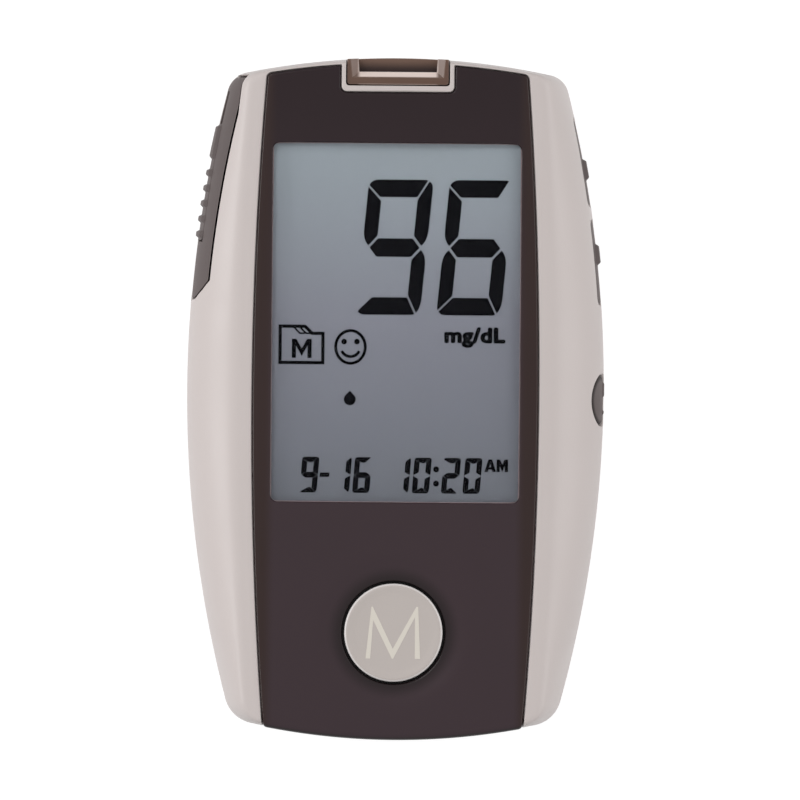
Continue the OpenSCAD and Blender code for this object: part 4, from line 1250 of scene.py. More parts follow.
@dataclass(frozen=True)
class CellJacket(Finish):
    """The printed sleeve of a battery cell, with bare metal ends and a plain pale band."""

    jacket: Rgb = (44, 62, 92)
    band: Rgb = (196, 200, 206)
    metal: Rgb = (200, 198, 194)
    middle_y: float = -16.0
    bare_from: Pair = (22.4, 22.5)
    band_half: Pair = (8.1, 8.0)

    def shader(self, graph: Graph) -> Socket:
        """Sleeve, band and ends along the cell; see Finish.shader."""
        _, y, _ = graph.axes()
        away = graph.math("ABSOLUTE", graph.math("SUBTRACT", y, self.middle_y * MM))
        bare = graph.fade(away, self.bare_from)
        stripe = graph.fade(away, self.band_half)
        sleeve = graph.mix(stripe, linear(*self.jacket), linear(*self.band))
        cloud = graph.noise(0.4 / MM, 4.0)
        return graph.principled(
            Base_Color=graph.mix(bare, sleeve, linear(*self.metal)),
            Roughness=graph.math("MULTIPLY_ADD", cloud, 0.15, 0.22),
            Metallic=bare,
            Normal=graph.bump(0.2, 0.01, cloud),
        )


# The numbers of a moulded finish are its roughness, gloss, grains per mm, grain height in mm, colour
# variation, wear and width of the wear in mm. Those of a metal are roughness and scratches per mm.
WHITE_CASING = Moulded(
    "white_casing_plastic", (214, 204, 201), (236, 230, 227), 0.42, 0.35, 3.4, 0.012, 0.02, 0.45, 0.3
)
DARK_COVER = CoverPlastic(
    "dark_cover_plastic", (58, 44, 49), (84, 70, 72), 0.22, 0.22, 5.0, 0.003, 0.06, 0.1, 0.25
)
KEY_PLASTIC = KeyPlastic(
    "key_plastic", (200, 191, 186), (240, 234, 230), 0.4, 0.35, 4.0, 0.008, 0.03, 0.6, 0.3
)
ROUND_KEY = RoundKey(
    "round_key_rubber", (95, 85, 84), (128, 118, 116), 0.6, 0.3, 5.0, 0.02, 0.06, 0.3, 0.25
)
LEGEND_INK = Moulded(
    "legend_plastic", (230, 223, 212), (240, 236, 230), 0.4, 0.3, 4.0, 0.006, 0.02, 0.2, 0.1
)
GREY_TRIM = Moulded(
    "grey_trim_rubber", (95, 85, 84), (128, 118, 116), 0.6, 0.3, 5.0, 0.02, 0.06, 0.3, 0.25
)
PORT = PortPlastic(
    "port_plastic", (97, 71, 58), (186, 166, 152), 0.35, 0.4, 4.0, 0.006, 0.06, 0.4, 0.25
)
BLACK_FOAM = Moulded("foam_black", (24, 24, 25), (40, 40, 40), 0.9, 0.1, 2.2, 0.06, 0.2, 0.0)
LIGHT_GUIDE = Moulded("milky_plastic", (232, 232, 222), (240, 240, 235), 0.3, 0.5, 3.0, 0.004)
ELASTOMER = Moulded("striped_rubber", (196, 120, 132), (210, 150, 160), 0.6, 0.3, 6.0, 0.01)
CHIP_BLACK = Moulded("black_resin", (26, 26, 28), (70, 70, 72), 0.5, 0.35, 5.0, 0.01, 0.1, 0.4)
SILICONE = Moulded("soft_silicone", (214, 212, 202), (230, 228, 220), 0.5, 0.3, 3.0, 0.01, bleed=0.3)
HOLDER = Moulded("holder_plastic", (222, 220, 214), (238, 236, 232), 0.45, 0.4, 4.0, 0.008)
BOARD = CircuitBoard("green_board")
GOLD = Metal("gold_plate", (226, 186, 104), 0.22)
SPRING_STEEL = Metal("bright_spring_wire", (192, 190, 188), 0.25, 9.0)
SCREW_STEEL = Metal("zinc_screw", (170, 168, 166), 0.34, 5.0)
CELL_SLEEVE = CellJacket("cell_sleeve")
LENS = ClearLens("clear_lens")
LCD_FACE = DisplayFace("liquid_crystal")
LCD_INK = Ink("display_ink")


def make_piece(
    solid: Solid,
    name: str,
    body: Body,
    slot: str,
    finish: Finish,
    *stands_for: str,
    crease: float = 32.0,
) -> bpy.types.Object:
    """Turn a solid into a piece of the meter.

    Args:
        solid: The shape, in millimetres.
        name: The piece's name.
        body: The body that it rides on.
        slot: Name of the record's material slot; not used.
        finish: The finish that it shows.
        *stands_for: The construction nodes that it replaces.
        crease: Edges that turn by more degrees than this stay sharp.

    Returns:
        The piece.
    """
    mesh = solid.mesh(name, MM)
    work = bmesh.new()
    work.from_mesh(mesh)
    bmesh.ops.remove_doubles(work, verts=work.verts, dist=0.0005 * MM)
    limit = math.radians(crease)
    for edge in work.edges:
        edge.smooth = len(edge.link_faces) == 2 and edge.calc_face_angle(math.pi) < limit
    for face in work.faces:
        face.smooth = True
    work.to_mesh(mesh)
    work.free()
    piece = placed(name, mesh)
    mesh.materials.append(finish.material())
    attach(piece, body.value)
    if stands_for:
        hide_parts(*stands_for)
    LOG.info("%s: %d faces on %s", name, len(mesh.polygons), body.value)
    return piece


# ---------------------------------------------------------------- the casing's form


@dataclass
class CasingForm:
    """The outer form of both case halves: bowed outline, shoulders, crown and rounded back."""

    body: Span = field(default_factory=lambda: Span.of("front_case"))
    panel: Span = field(default_factory=lambda: Span.of("front_panel"))
    half_width: float = 29.4
    side_r: float = 169.0
    widest_y: float = 1.2
    top_r: float = 105.0
    low_r: float = 97.0
    corner_r: float = 3.2
    low_corner_more: float = 1.4
    plateau_corner_r: float = 2.2
    plateau_corner_more: float = 1.2
    panel_corner_r: float = 0.7
    widest_z: float = 12.0
    part_z: float = 10.0
    crown_r: float = 250.0
    shoulder: float = math.radians(65)
    bend: float = math.radians(60)
    strip_w: float = 2.6
    rim_round: float = 0.5
    panel_side_r: float = 585.0
    panel_top_r: float = 112.0
    rim_w: float = 1.0
    rear_bulge: float = 2.4
    rear_side_inset: float = 7.0
    rear_end_inset: float = 4.0
    crease_mm: float = 0.7

    @property
    def half_length(self) -> float:
        """Half the length of the casing."""
        return self.body.high.y

    @property
    def depth(self) -> float:
        """Height of the crown above the back."""
        return self.panel.high.z

    @property
    def end_y(self) -> float:
        """Level of the centre of the bowed lower end."""
        return -self.half_length + self.low_r

    @property
    def panel_half(self) -> float:
        """Half the width of the front panel at its middle."""
        return self.panel.size.x / 2

    @property
    def side_centre_x(self) -> float:
        """Distance of the centre of each bowed side beyond the middle."""
        return self.side_r - self.half_width

    def crown(self, x: np.ndarray, y: np.ndarray | None = None) -> np.ndarray:
        """Height of the crowned front."""
        return self.depth - np.asarray(x) ** 2 / (2 * self.crown_r)

    def widest(self) -> Bow:
        """The outline at the widest level."""
        half = self.half_length
        return Bow(
            self.half_width,
            self.side_r,
            self.widest_y,
            half,
            self.top_r,
            -half,
            self.low_r,
            self.corner_r,
            low_corner_more=self.low_corner_more,
        )

    def plateau(self, inset: float = 0.0) -> Bow:
        """The edge where the shoulder meets the flat strip.

        Args:
            inset: Distance that the edge is set in.

        Returns:
            The outline.
        """
        half, r = self.half_length, self.rim_round
        return Bow(
            self.panel_half + self.strip_w,
            self.panel_side_r + self.strip_w,
            0.0,
            half - r,
            self.top_r - r,
            -half + r,
            self.low_r - r,
            self.plateau_corner_r,
            low_corner_more=self.plateau_corner_more,
        ).grown(-inset)

    def panel_line(self, by: float = 0.0, low_by: float = 0.0) -> Bow:
        """The front panel's outline.

        Args:
            by: Distance that its sides and its upper edge move outwards.
            low_by: Distance that its lower edge moves outwards.

        Returns:
            The outline.
        """
        half = self.half_length
        outline = Bow(
            self.panel_half,
            self.panel_side_r,
            0.0,
            half - self.rim_w,
            self.panel_top_r,
            -half,
            self.low_r,
            self.panel_corner_r,
        )
        return outline.grown(by, low_by)

    def back(self) -> Bow:
        """The outline of the flat back."""
        side, end, half = self.rear_side_inset, self.rear_end_inset, self.half_length
        return Bow(
            self.half_width - side,
            self.side_r - side,
            self.widest_y,
            half - end,
            self.top_r - end,
            -half + end,
            self.low_r - end,
            self.corner_r,
            low_corner_more=self.low_corner_more,
        )

    def shell_line(self, inset: float) -> Line:
        """The widest outline set in by a distance."""
        return self.widest().grown(-inset, corner_min=0.6).whole()

    def shoulder_share(self, angle: float) -> float:
        """Share of the way from the plateau out to the widest outline."""
        low = math.cos(self.shoulder)
        return (math.cos(angle) - low) / (1 - low)

    def front_ring(self, angle: float) -> np.ndarray:
        """A ring of the shoulder at an angle above the widest level."""
        widest, plateau = self.widest().whole(), self.plateau().whole()
        line = plateau + (widest - plateau) * self.shoulder_share(angle)
        rise = math.sin(angle) / math.sin(self.shoulder)
        return at_height(line, self.widest_z + (self.crown(plateau[:, 0]) - self.widest_z) * rise)

    def rear_ring(self, height: float) -> np.ndarray:
        """A ring of the rounded back at a height."""
        share = max(1 - ((self.widest_z - height) / self.widest_z) ** self.rear_bulge, 0)
        widest, back = self.widest().whole(), self.back().whole()
        line = back + (widest - back) * share ** (1 / self.rear_bulge)
        return at_height(line, height)

    def front(self) -> Solid:
        """The solid form of the front half, up to its crowned top."""
        rings = [self.rear_ring(self.part_z), self.rear_ring((self.part_z + self.widest_z) / 2)]
        steps = 26
        for k in range(steps + 1):
            rings.append(self.front_ring(self.bend * k / steps))
        start = rings[-1]
        flat = self.plateau().whole()
        corner = at_height(flat, self.crown(flat[:, 0]))
        inner = self.plateau(self.crease_mm).whole()
        end = at_height(inner, self.crown(inner[:, 0]))
        for t in (0.25, 0.5, 0.75, 1.0):
            rings.append((1 - t) ** 2 * start + 2 * t * (1 - t) * corner + t**2 * end)
        return Solid.stack(rings, self.crown, 48)

    def rear(self) -> Solid:
        """The solid form of the rear half, from its flat back up to the parting plane."""
        drop = self.widest_z - self.part_z
        start = math.asin((drop / self.widest_z) ** (self.rear_bulge / 2))
        rings = []
        steps = 24
        for k in range(steps, -1, -1):
            angle = start + (math.pi / 2 - start) * k / steps
            height = self.widest_z * (1 - math.sin(angle) ** (2 / self.rear_bulge))
            rings.append(self.rear_ring(height))
        return Solid.stack(rings)

    def side_angle(self, y: np.ndarray | float) -> np.ndarray:
        """Angle along the bowed side at a level."""
        return np.arcsin((np.asarray(y) - self.widest_y) / self.side_r)

    def side_inset(self, y: np.ndarray, z: np.ndarray) -> np.ndarray:
        """How far the surface lies inside the widest outline.

        Args:
            y: Levels along the meter.
            z: Heights.

        Returns:
            The distance at each place.
        """
        reach = self.side_r * np.cos(self.side_angle(y)) - self.side_centre_x
        width = reach - (self.panel_half + self.strip_w - y**2 / (2 * self.panel_side_r))
        top = self.crown(self.panel_half + self.strip_w)
        share = np.clip((z - self.widest_z) / (top - self.widest_z), 0, 1)
        angle = np.arcsin(share * math.sin(self.shoulder))
        low = math.cos(self.shoulder)
        front = width * (1 - (np.cos(angle) - low) / (1 - low))
        drop = np.clip((self.widest_z - z) / self.widest_z, 0, 1)
        rear = self.rear_side_inset * (1 - (1 - drop**self.rear_bulge) ** (1 / self.rear_bulge))
        return np.where(z >= self.widest_z, front, rear)

    def side_point(
        self, side: Side, y: np.ndarray, z: np.ndarray, out: np.ndarray | float
    ) -> np.ndarray:
        """Points of the side's surface moved outwards.

        Args:
            side: Which side.
            y: Levels along the meter.
            z: Heights.
            out: How far each point stands out of the surface.

        Returns:
            The points, with a last axis of 3.
        """
        radius = self.side_r - self.side_inset(y, z) + out
        angle = self.side_angle(y)
        x = side.value * (radius * np.cos(angle) - self.side_centre_x)
        return np.stack([x, self.widest_y + radius * np.sin(angle), z], axis=-1)

    def side_slab(self, side: Side, y: Pair, z: Pair, d0: float, d1: float) -> Solid:
        """A slab that follows a bowed side.

        Args:
            side: Which side.
            y: Its lowest and its highest level.
            z: Its lowest and its highest height.
            d0: Depth of its inner face below the widest outline.
            d1: Depth of its outer face.

        Returns:
            The slab.
        """
        a0, a1 = float(self.side_angle(y[0])), float(self.side_angle(y[1]))
        centre = (-self.side_centre_x, self.widest_y)
        inner = arc(centre, self.side_r - d0, a0, a1, 40)
        outer = arc(centre, self.side_r - d1, a1, a0, 40)
        outline = np.concatenate([inner, outer])
        if side is Side.RIGHT:
            outline = outline[::-1]
        else:
            outline = outline * [-1, 1]
        return Solid.prism(outline, *z)


@dataclass
class SidePad:
    """A piece let into a bowed side, whose outer face follows the casing with a relief."""

    form: CasingForm
    side: Side
    outline: Line
    depth: float
    cell: float = 0.16
    edge: float = 0.3

    def solid(self, relief: Callable[[np.ndarray, np.ndarray, np.ndarray], np.ndarray]) -> Solid:
        """The piece.

        Args:
            relief: Height above the casing's surface, by level, height and distance inside the
                outline.

        Returns:
            The closed solid.
        """
        low, high = self.outline.min(axis=0) - 0.2, self.outline.max(axis=0) + 0.2
        counts = np.ceil((high - low) / self.cell).astype(int) + 1
        y, z = np.meshgrid(
            np.linspace(low[0], high[0], counts[0]),
            np.linspace(low[1], high[1], counts[1]),
            indexing="ij",
        )
        inside = depth_in(y, z, self.outline)
        height = relief(y, z, inside) - round_over(inside, self.edge)
        outer = self.form.side_point(self.side, y, z, height)
        flat = np.full_like(z, self.form.widest_z)
        inner = self.form.side_point(self.side, y, flat, -self.depth)
        inner[..., 2] = z
        slab = Solid.grid(outer, inner)
        reach = sorted([0.0, self.side.value * FAR_OUT])
        return slab.within(Solid.cross(self.outline, *reach))


# ---------------------------------------------------------------- casing


@dataclass
class Casing:
    """The two case halves with their openings."""

    form: CasingForm
    wall: float = 2.2
    panel_t: float = 2.0
    panel_over: float = 4.0
    deck_t: float = 1.4
    panel_gap: float = 0.15
    rim_radius: float = 0.3
    chin_t: float = 1.4
    chin_wall: float = 1.2
    key_gap: float = 0.2
    round_key_more: float = 0.08
    track_gap: float = 0.28
    track_wall: float = 1.5
    mouth_chamfer: float = 0.15
    frame_wall: float = 0.77
    frame_low: float = 1.0
    port_gap: float = 0.16
    cavity_top: float = 17.2
    chin_over: Pair = (24.5, 26.0)
    attic_inset: float = 0.7
    board_posts: tuple[Pair, ...] = ((11.5, 39.9), (-11.5, 39.9), (15.0, -24.0), (-15.0, -24.0))
    case_tube: tuple[float, float, float] = (2.4, 1.02, 16.4)
    board_tube: tuple[float, float, float] = (1.8, 0.82, 19.2)
    floor_t: float = 1.8
    well_half: float = 11.45
    well_y: Pair = (-40.15, 8.15)
    well_top: float = 12.55
    door_half: float = 13.85
    door_gap: float = 0.15
    door_seat_t: float = 1.75
    pin_bore_r: float = 0.86
    guide_half: float = 1.35
    guide_y: Pair = (34.7, 44.9)
    guide_walls_y: Pair = (35.76, 43.85)
    shelf_x: Pair = (-17.8, -15.8)
    stop_x: Pair = (-8.5, -5.5)
    stop_y: Pair = (40.89, 42.09)
    scoop_r: float = 4.0
    screw_well: tuple[float, float, float] = (2.05, 3.0, 1.15)
    sound_holes: tuple[int, float, float] = (5, 1.8, 0.5)
    label: tuple[float, float, float, float] = (-4, 28, 20, 19)
    label_t: float = 0.2
    door: Span = field(default_factory=lambda: Span.of("battery_door"))
    port: Span = field(default_factory=lambda: Span.of("strip_port"))
    screws: Span = field(default_factory=lambda: Span.of("case_screws"))
    pusher: Span = field(default_factory=lambda: Span.of("ejector_pusher"))

    @property
    def deck_top(self) -> float:
        """Height of the deck that the panel lies on."""
        return self.form.depth - self.panel_t

    def port_opening(self, low: float, width: float, radius: float, by: float) -> Line:
        """An outline that is open at the strip port's end of the casing.

        Args:
            low: Level of its lower edge.
            width: Extent along X.
            radius: Corner radius.
            by: Distance that the outline is moved outwards.

        Returns:
            The outline's points.
        """
        start, end = low - by, self.form.half_length + 6
        return round_rect(0, (start + end) / 2, width + 2 * by, end - start, radius + by)

    def frame_line(self, by: float = 0.0) -> Line:
        """The outline of the frame round the strip port, moved outwards."""
        width = self.port.size.x + 2 * self.frame_wall
        return self.port_opening(self.port.low.y - self.frame_low, width, 0.75, by)

    def port_line(self, by: float = 0.0) -> Line:
        """The outline of the hole for the strip port, moved outwards."""
        width = self.port.size.x + 2 * self.port_gap
        return self.port_opening(self.port.low.y - self.port_gap, width, 0.45, by)

    def side_windows(self, by: float = 0.0) -> list[tuple[Side, Line]]:
        """The openings in the casing's sides.

        Args:
            by: Distance that their outlines are moved outwards.

        Returns:
            The side and the outline of each.
        """
        gap = self.key_gap + by
        found = []
        for node in ("up_key", "down_key"):
            face = LongKey.face(node)
            low = (face[0][0] - gap, face[0][1] - gap)
            high = (face[1][0] + gap, face[1][1] + gap)
            found.append((Side.RIGHT, rect_between(low, high, LongKey.corner_r + gap)))
        y, z, r = LightKey.place
        found.append((Side.RIGHT, circle(y, z, r + gap + self.round_key_more, 64)))
        found.append((Side.LEFT, Track.outline(self.track_gap + by)))
        return found

    def panel_pocket(self) -> Solid:
        """The room of the front panel, less the frame round the strip port."""
        form = self.form

        def panel(by: float) -> Line:
            """The panel's outline, which runs out over the lower end."""
            return form.panel_line(self.panel_gap + by, self.panel_over).whole()

        room = flared(panel, form.crown, self.deck_top, self.rim_radius, form.depth + 1)
        over = form.depth + 3
        return room.cut(flared(self.frame_line, form.crown, self.deck_top - 1, -0.22, over))

    def chin_room(self, core_r: float) -> Solid:
        """The room of the panel's chin, outside a radius at the lower end."""
        form = self.form
        line = form.panel_line(self.panel_gap, self.panel_over).whole()
        chin = Solid.prism(line, form.part_z - 1, self.chin_over[0])
        chin = chin.cut(Solid.rod(0, form.end_y, form.part_z - 2, self.chin_over[1], core_r, 720))
        far = form.half_length + 4
        return chin.within(Solid.block((-far, -far, 0), (far, 0, FAR_UP)))

    def cavity(self, inner_r: float) -> Solid:
        """The room inside the walls, less what stands behind the side track."""
        form = self.form
        room = Solid.prism(form.shell_line(self.wall), form.part_z - 1, self.cavity_top)
        room = room.within(Solid.rod(0, form.end_y, 0, FAR_UP, inner_r, 720))
        backing = Solid.cross(Track.outline(1.2), -FAR_OUT, 0)
        core = Solid.prism(form.shell_line(self.wall + self.track_wall), 0, FAR_UP)
        return room.cut(backing.cut(core))

    def attic(self, inner_r: float) -> Solid:
        """The room under the deck.

        Args:
            inner_r: Radius of its lower end.

        Returns:
            The room as a solid.
        """
        form, half = self.form, self.form.half_length
        line = Bow(
            form.panel_half + form.strip_w - self.attic_inset,
            form.panel_side_r,
            0.0,
            half - self.wall,
            form.top_r - self.wall,
            -half + form.low_r - inner_r,
            inner_r,
            2.0,
        )
        return Solid.prism(line.whole(), form.part_z - 1, self.deck_top - self.deck_t)

    def side_cuts(self) -> list[tuple[Solid, Solid]]:
        """The tools of each side opening and of its chamfered mouth."""
        form, chamfer = self.form, self.mouth_chamfer
        inner = form.front().scaled(
            1 - chamfer / form.half_width, 1 - chamfer / form.half_length, 1.0, form.widest_z
        )
        tools = []
        for (side, hole), (_, mouth) in zip(self.side_windows(), self.side_windows(chamfer)):
            ends = sorted([side.value * 5.0, side.value * 34.0])
            kept = self.wall + (1.0 if side is Side.RIGHT else 0.27)
            core = Solid.prism(form.shell_line(kept), 0, FAR_UP)
            rim = Solid.cross(mouth, *ends).cut(inner, core)
            tools.append((Solid.cross(hole, *ends).cut(core), rim))
        return tools

    def front_shell(self) -> Solid:
        """The front case."""
        form = self.form
        core_r = form.low_r - self.chin_t - self.panel_gap
        inner_r = core_r - self.chin_wall
        port = flared(self.port_line, form.crown, self.port.low.z - 0.1, 0.2, form.depth + 3)
        rooms = [self.panel_pocket(), self.chin_room(core_r)]
        rooms += [self.cavity(inner_r), self.attic(inner_r), port]
        shell = form.front().cut(*rooms).cut(*self.deck_holes())
        for tools in self.side_cuts():
            shell = shell.cut(*tools)
        return shell.cut(self.arm_slot()).joined(*self.bosses())

    def bosses(self) -> list[Solid]:
        """The tubes for the case screws and the board screws."""
        top = self.deck_top - 0.9
        board_low = Span.of("board_screws").high.z - 3.4
        rows = [(self.screw_places(), self.form.part_z, self.case_tube)]
        rows.append((self.board_posts, board_low, self.board_tube))
        tubes = []
        for places, low, (outer, bore, bore_top) in rows:
            for x, y in places:
                tube = Solid.rod(x, y, low, top, outer)
                tubes.append(tube.cut(Solid.rod(x, y, low - 1, bore_top, bore)))
        return tubes

    def deck_holes(self) -> list[Solid]:
        """The openings of the deck for the display and the main key."""
        window = Span.of("display_window")
        key = Span.of("main_key").middle
        ledge = 0.9
        width, length = window.size.x - 2 * ledge, window.size.y - 2 * ledge
        sight = round_rect(window.middle.x, window.middle.y, width, length, 0.6)
        low, high = self.deck_top - self.deck_t - 1, self.deck_top + 0.5
        hole = Solid.rod(key.x, key.y, low, high, MainKey.radius + 0.35, 128)
        return [Solid.prism(sight, low, high), hole]

    def arm_slot(self) -> Solid:
        """The slot that the slider's arm passes through."""
        y = Span.of("ejector_slider").middle.y
        heights = (self.form.part_z - 1, 12.5)
        return self.form.side_slab(Side.LEFT, (y - 2.5, y + 6.9), heights, 4.7, 1.8)

    def screw_places(self) -> list[Pair]:
        """Where the four case screws stand."""
        r = 1.9
        low, high = self.screws.low, self.screws.high
        upper_x = min(18.5, high.x - r)
        places = [(upper_x, high.y - r), (-upper_x, high.y - r)]
        return places + [(18.4, low.y + r), (-18.4, low.y + r)]

    def inner_ribs(self) -> list[Solid]:
        """What stands on the back inside: walls, the pusher's shelf and the spring's stop."""
        half, (y0, y1), ceiling = self.well_half, self.well_y, self.well_top
        seat, seat_end = self.door_half, self.door_end - 1
        hinge = BatteryDoor.hinge_y + self.trough + 1
        guide, (guide0, guide1) = self.guide_half + 1, self.guide_walls_y
        (shelf0, shelf1), (stop0, stop1) = self.shelf_x, self.stop_x
        shelf_y, low_z = self.pusher.low.y, self.pusher.low.z
        walls = [
            ((-half - 1, y0 - 1), (half + 1, y1 + 1), ceiling + 1),
            ((-seat - 1.2, seat_end), (seat + 1.2, hinge), 3.25),
            ((-seat - 2.2, y1), (seat + 2.2, hinge), BatteryDoor.barrel_r + self.trough + 1),
            ((-guide, guide0), (guide, guide1), low_z + 1.2),
            ((shelf0, shelf_y + 1.4), (shelf1, shelf_y + 8), low_z - 0.1),
            ((stop0, self.stop_y[0]), (stop1, self.stop_y[1]), low_z + 1.2),
        ]
        root = self.floor_t / 2
        return [Solid.block((*low, root), (*high, top)) for low, high, top in walls]

    @property
    def trough(self) -> float:
        """Radius of the trough that the door's barrel turns in."""
        return BatteryDoor.barrel_r + self.door_gap

    @property
    def door_end(self) -> float:
        """Level of the lower end of the door's seat."""
        return self.door.low.y - self.door_gap

    def hinge_rooms(self) -> list[Solid]:
        """The trough of the door's barrel and the bores of its two pins."""
        half, bore, middle = self.door_half, self.pin_bore_r, BatteryDoor.at_hinge()
        bars = [(-half, half, self.trough)]
        bars += [(half - 0.5, half + 1.5, bore), (-half - 1.5, -half + 0.5, bore)]
        return [Solid.rod(0, 0, x0, x1, radius).turned(middle) for x0, x1, radius in bars]

    def back_holes(self) -> list[Solid]:
        """The wells and bores of the case screws, and the sound holes."""
        well_r, well_t, bore_r = self.screw_well
        holes = []
        for x, y in self.screw_places():
            holes.append(self.sunk(growing_circle(x, y, well_r, 48), well_t, 0.25))
            holes.append(Solid.rod(x, y, well_t - 0.1, self.form.part_z + 1, bore_r))
        buzzer = Span.of("buzzer").middle
        count, ring_r, hole_r = self.sound_holes
        for k in range(count):
            angle = math.radians(360 / count * k)
            x, y = buzzer.x + ring_r * math.cos(angle), buzzer.y + ring_r * math.sin(angle)
            holes.append(self.sunk(growing_circle(x, y, hole_r, 32), self.floor_t + 1, 0.15))
        return holes

    def scoop(self) -> Solid:
        """A ball that makes room for a fingertip at the door's lower end."""
        r = self.scoop_r
        angles = np.linspace(0.06, 3.08, 40)
        ball = Solid.lathe([(0, -r), *[(r * math.sin(a), -r * math.cos(a)) for a in angles], (0, r)])
        return ball.moved(0, self.door_end + 0.4, 1.2 - r)

    def rear_shell(self) -> Solid:
        """The rear case with its battery well, door seat, screw wells and pusher channel."""
        form, half, (y0, y1) = self.form, self.well_half, self.well_y
        step_z = form.widest_z / 2
        shell = form.rear().cut(
            Solid.prism(form.shell_line(self.wall), step_z, form.part_z + 1),
            Solid.prism(form.shell_line(form.rear_side_inset), self.floor_t, step_z + 0.01),
        )
        posts = [
            Solid.rod(x, y, self.floor_t / 2, form.part_z, 2.8).within(form.rear())
            for x, y in self.screw_places()
        ]
        hinge_y = BatteryDoor.hinge_y
        seat_middle = (self.door_end + hinge_y + self.trough) / 2
        seat_length = hinge_y + self.trough - self.door_end
        seat = growing_rect(0, seat_middle, 2 * self.door_half, seat_length, 0.6)
        seat_low, seat_high = (-self.door_half, self.door_end), (self.door_half, hinge_y)
        guide, (guide0, guide1), low_z = self.guide_half, self.guide_y, self.pusher.low.z
        return shell.joined(*self.inner_ribs(), *posts).cut(
            Solid.block((-half, y0, -1), (half, y1, self.well_top)),
            Solid.block((*seat_low, -1), (*seat_high, self.door_seat_t)),
            self.sunk(seat, BatteryDoor.barrel_r, 0.15),
            *self.hinge_rooms(),
            self.scoop(),
            *self.back_holes(),
            Solid.block((-guide, guide0, low_z - 0.1), (guide, guide1, low_z + 3)),
            self.sunk(growing_rect(*self.label, 1), self.label_t, 0.12),
        )

    @staticmethod
    def sunk(line: Growing, depth: float, radius: float) -> Solid:
        """A tool that cuts a hole with a rounded mouth up from the back."""
        over = flared(line, lambda x, y: np.zeros_like(x), -depth, radius, 1.0)
        return over.scaled(1, 1, -1)

    def build(self) -> None:
        """Make both case halves."""
        halves = (("front", self.front_shell()), ("rear", self.rear_shell()))
        for name, shell in halves:
            look = ("white_casing", WHITE_CASING, f"{name}_case")
            make_piece(shell, f"{name}_shell", Body.CASING, *look)


# ---------------------------------------------------------------- front cover and display


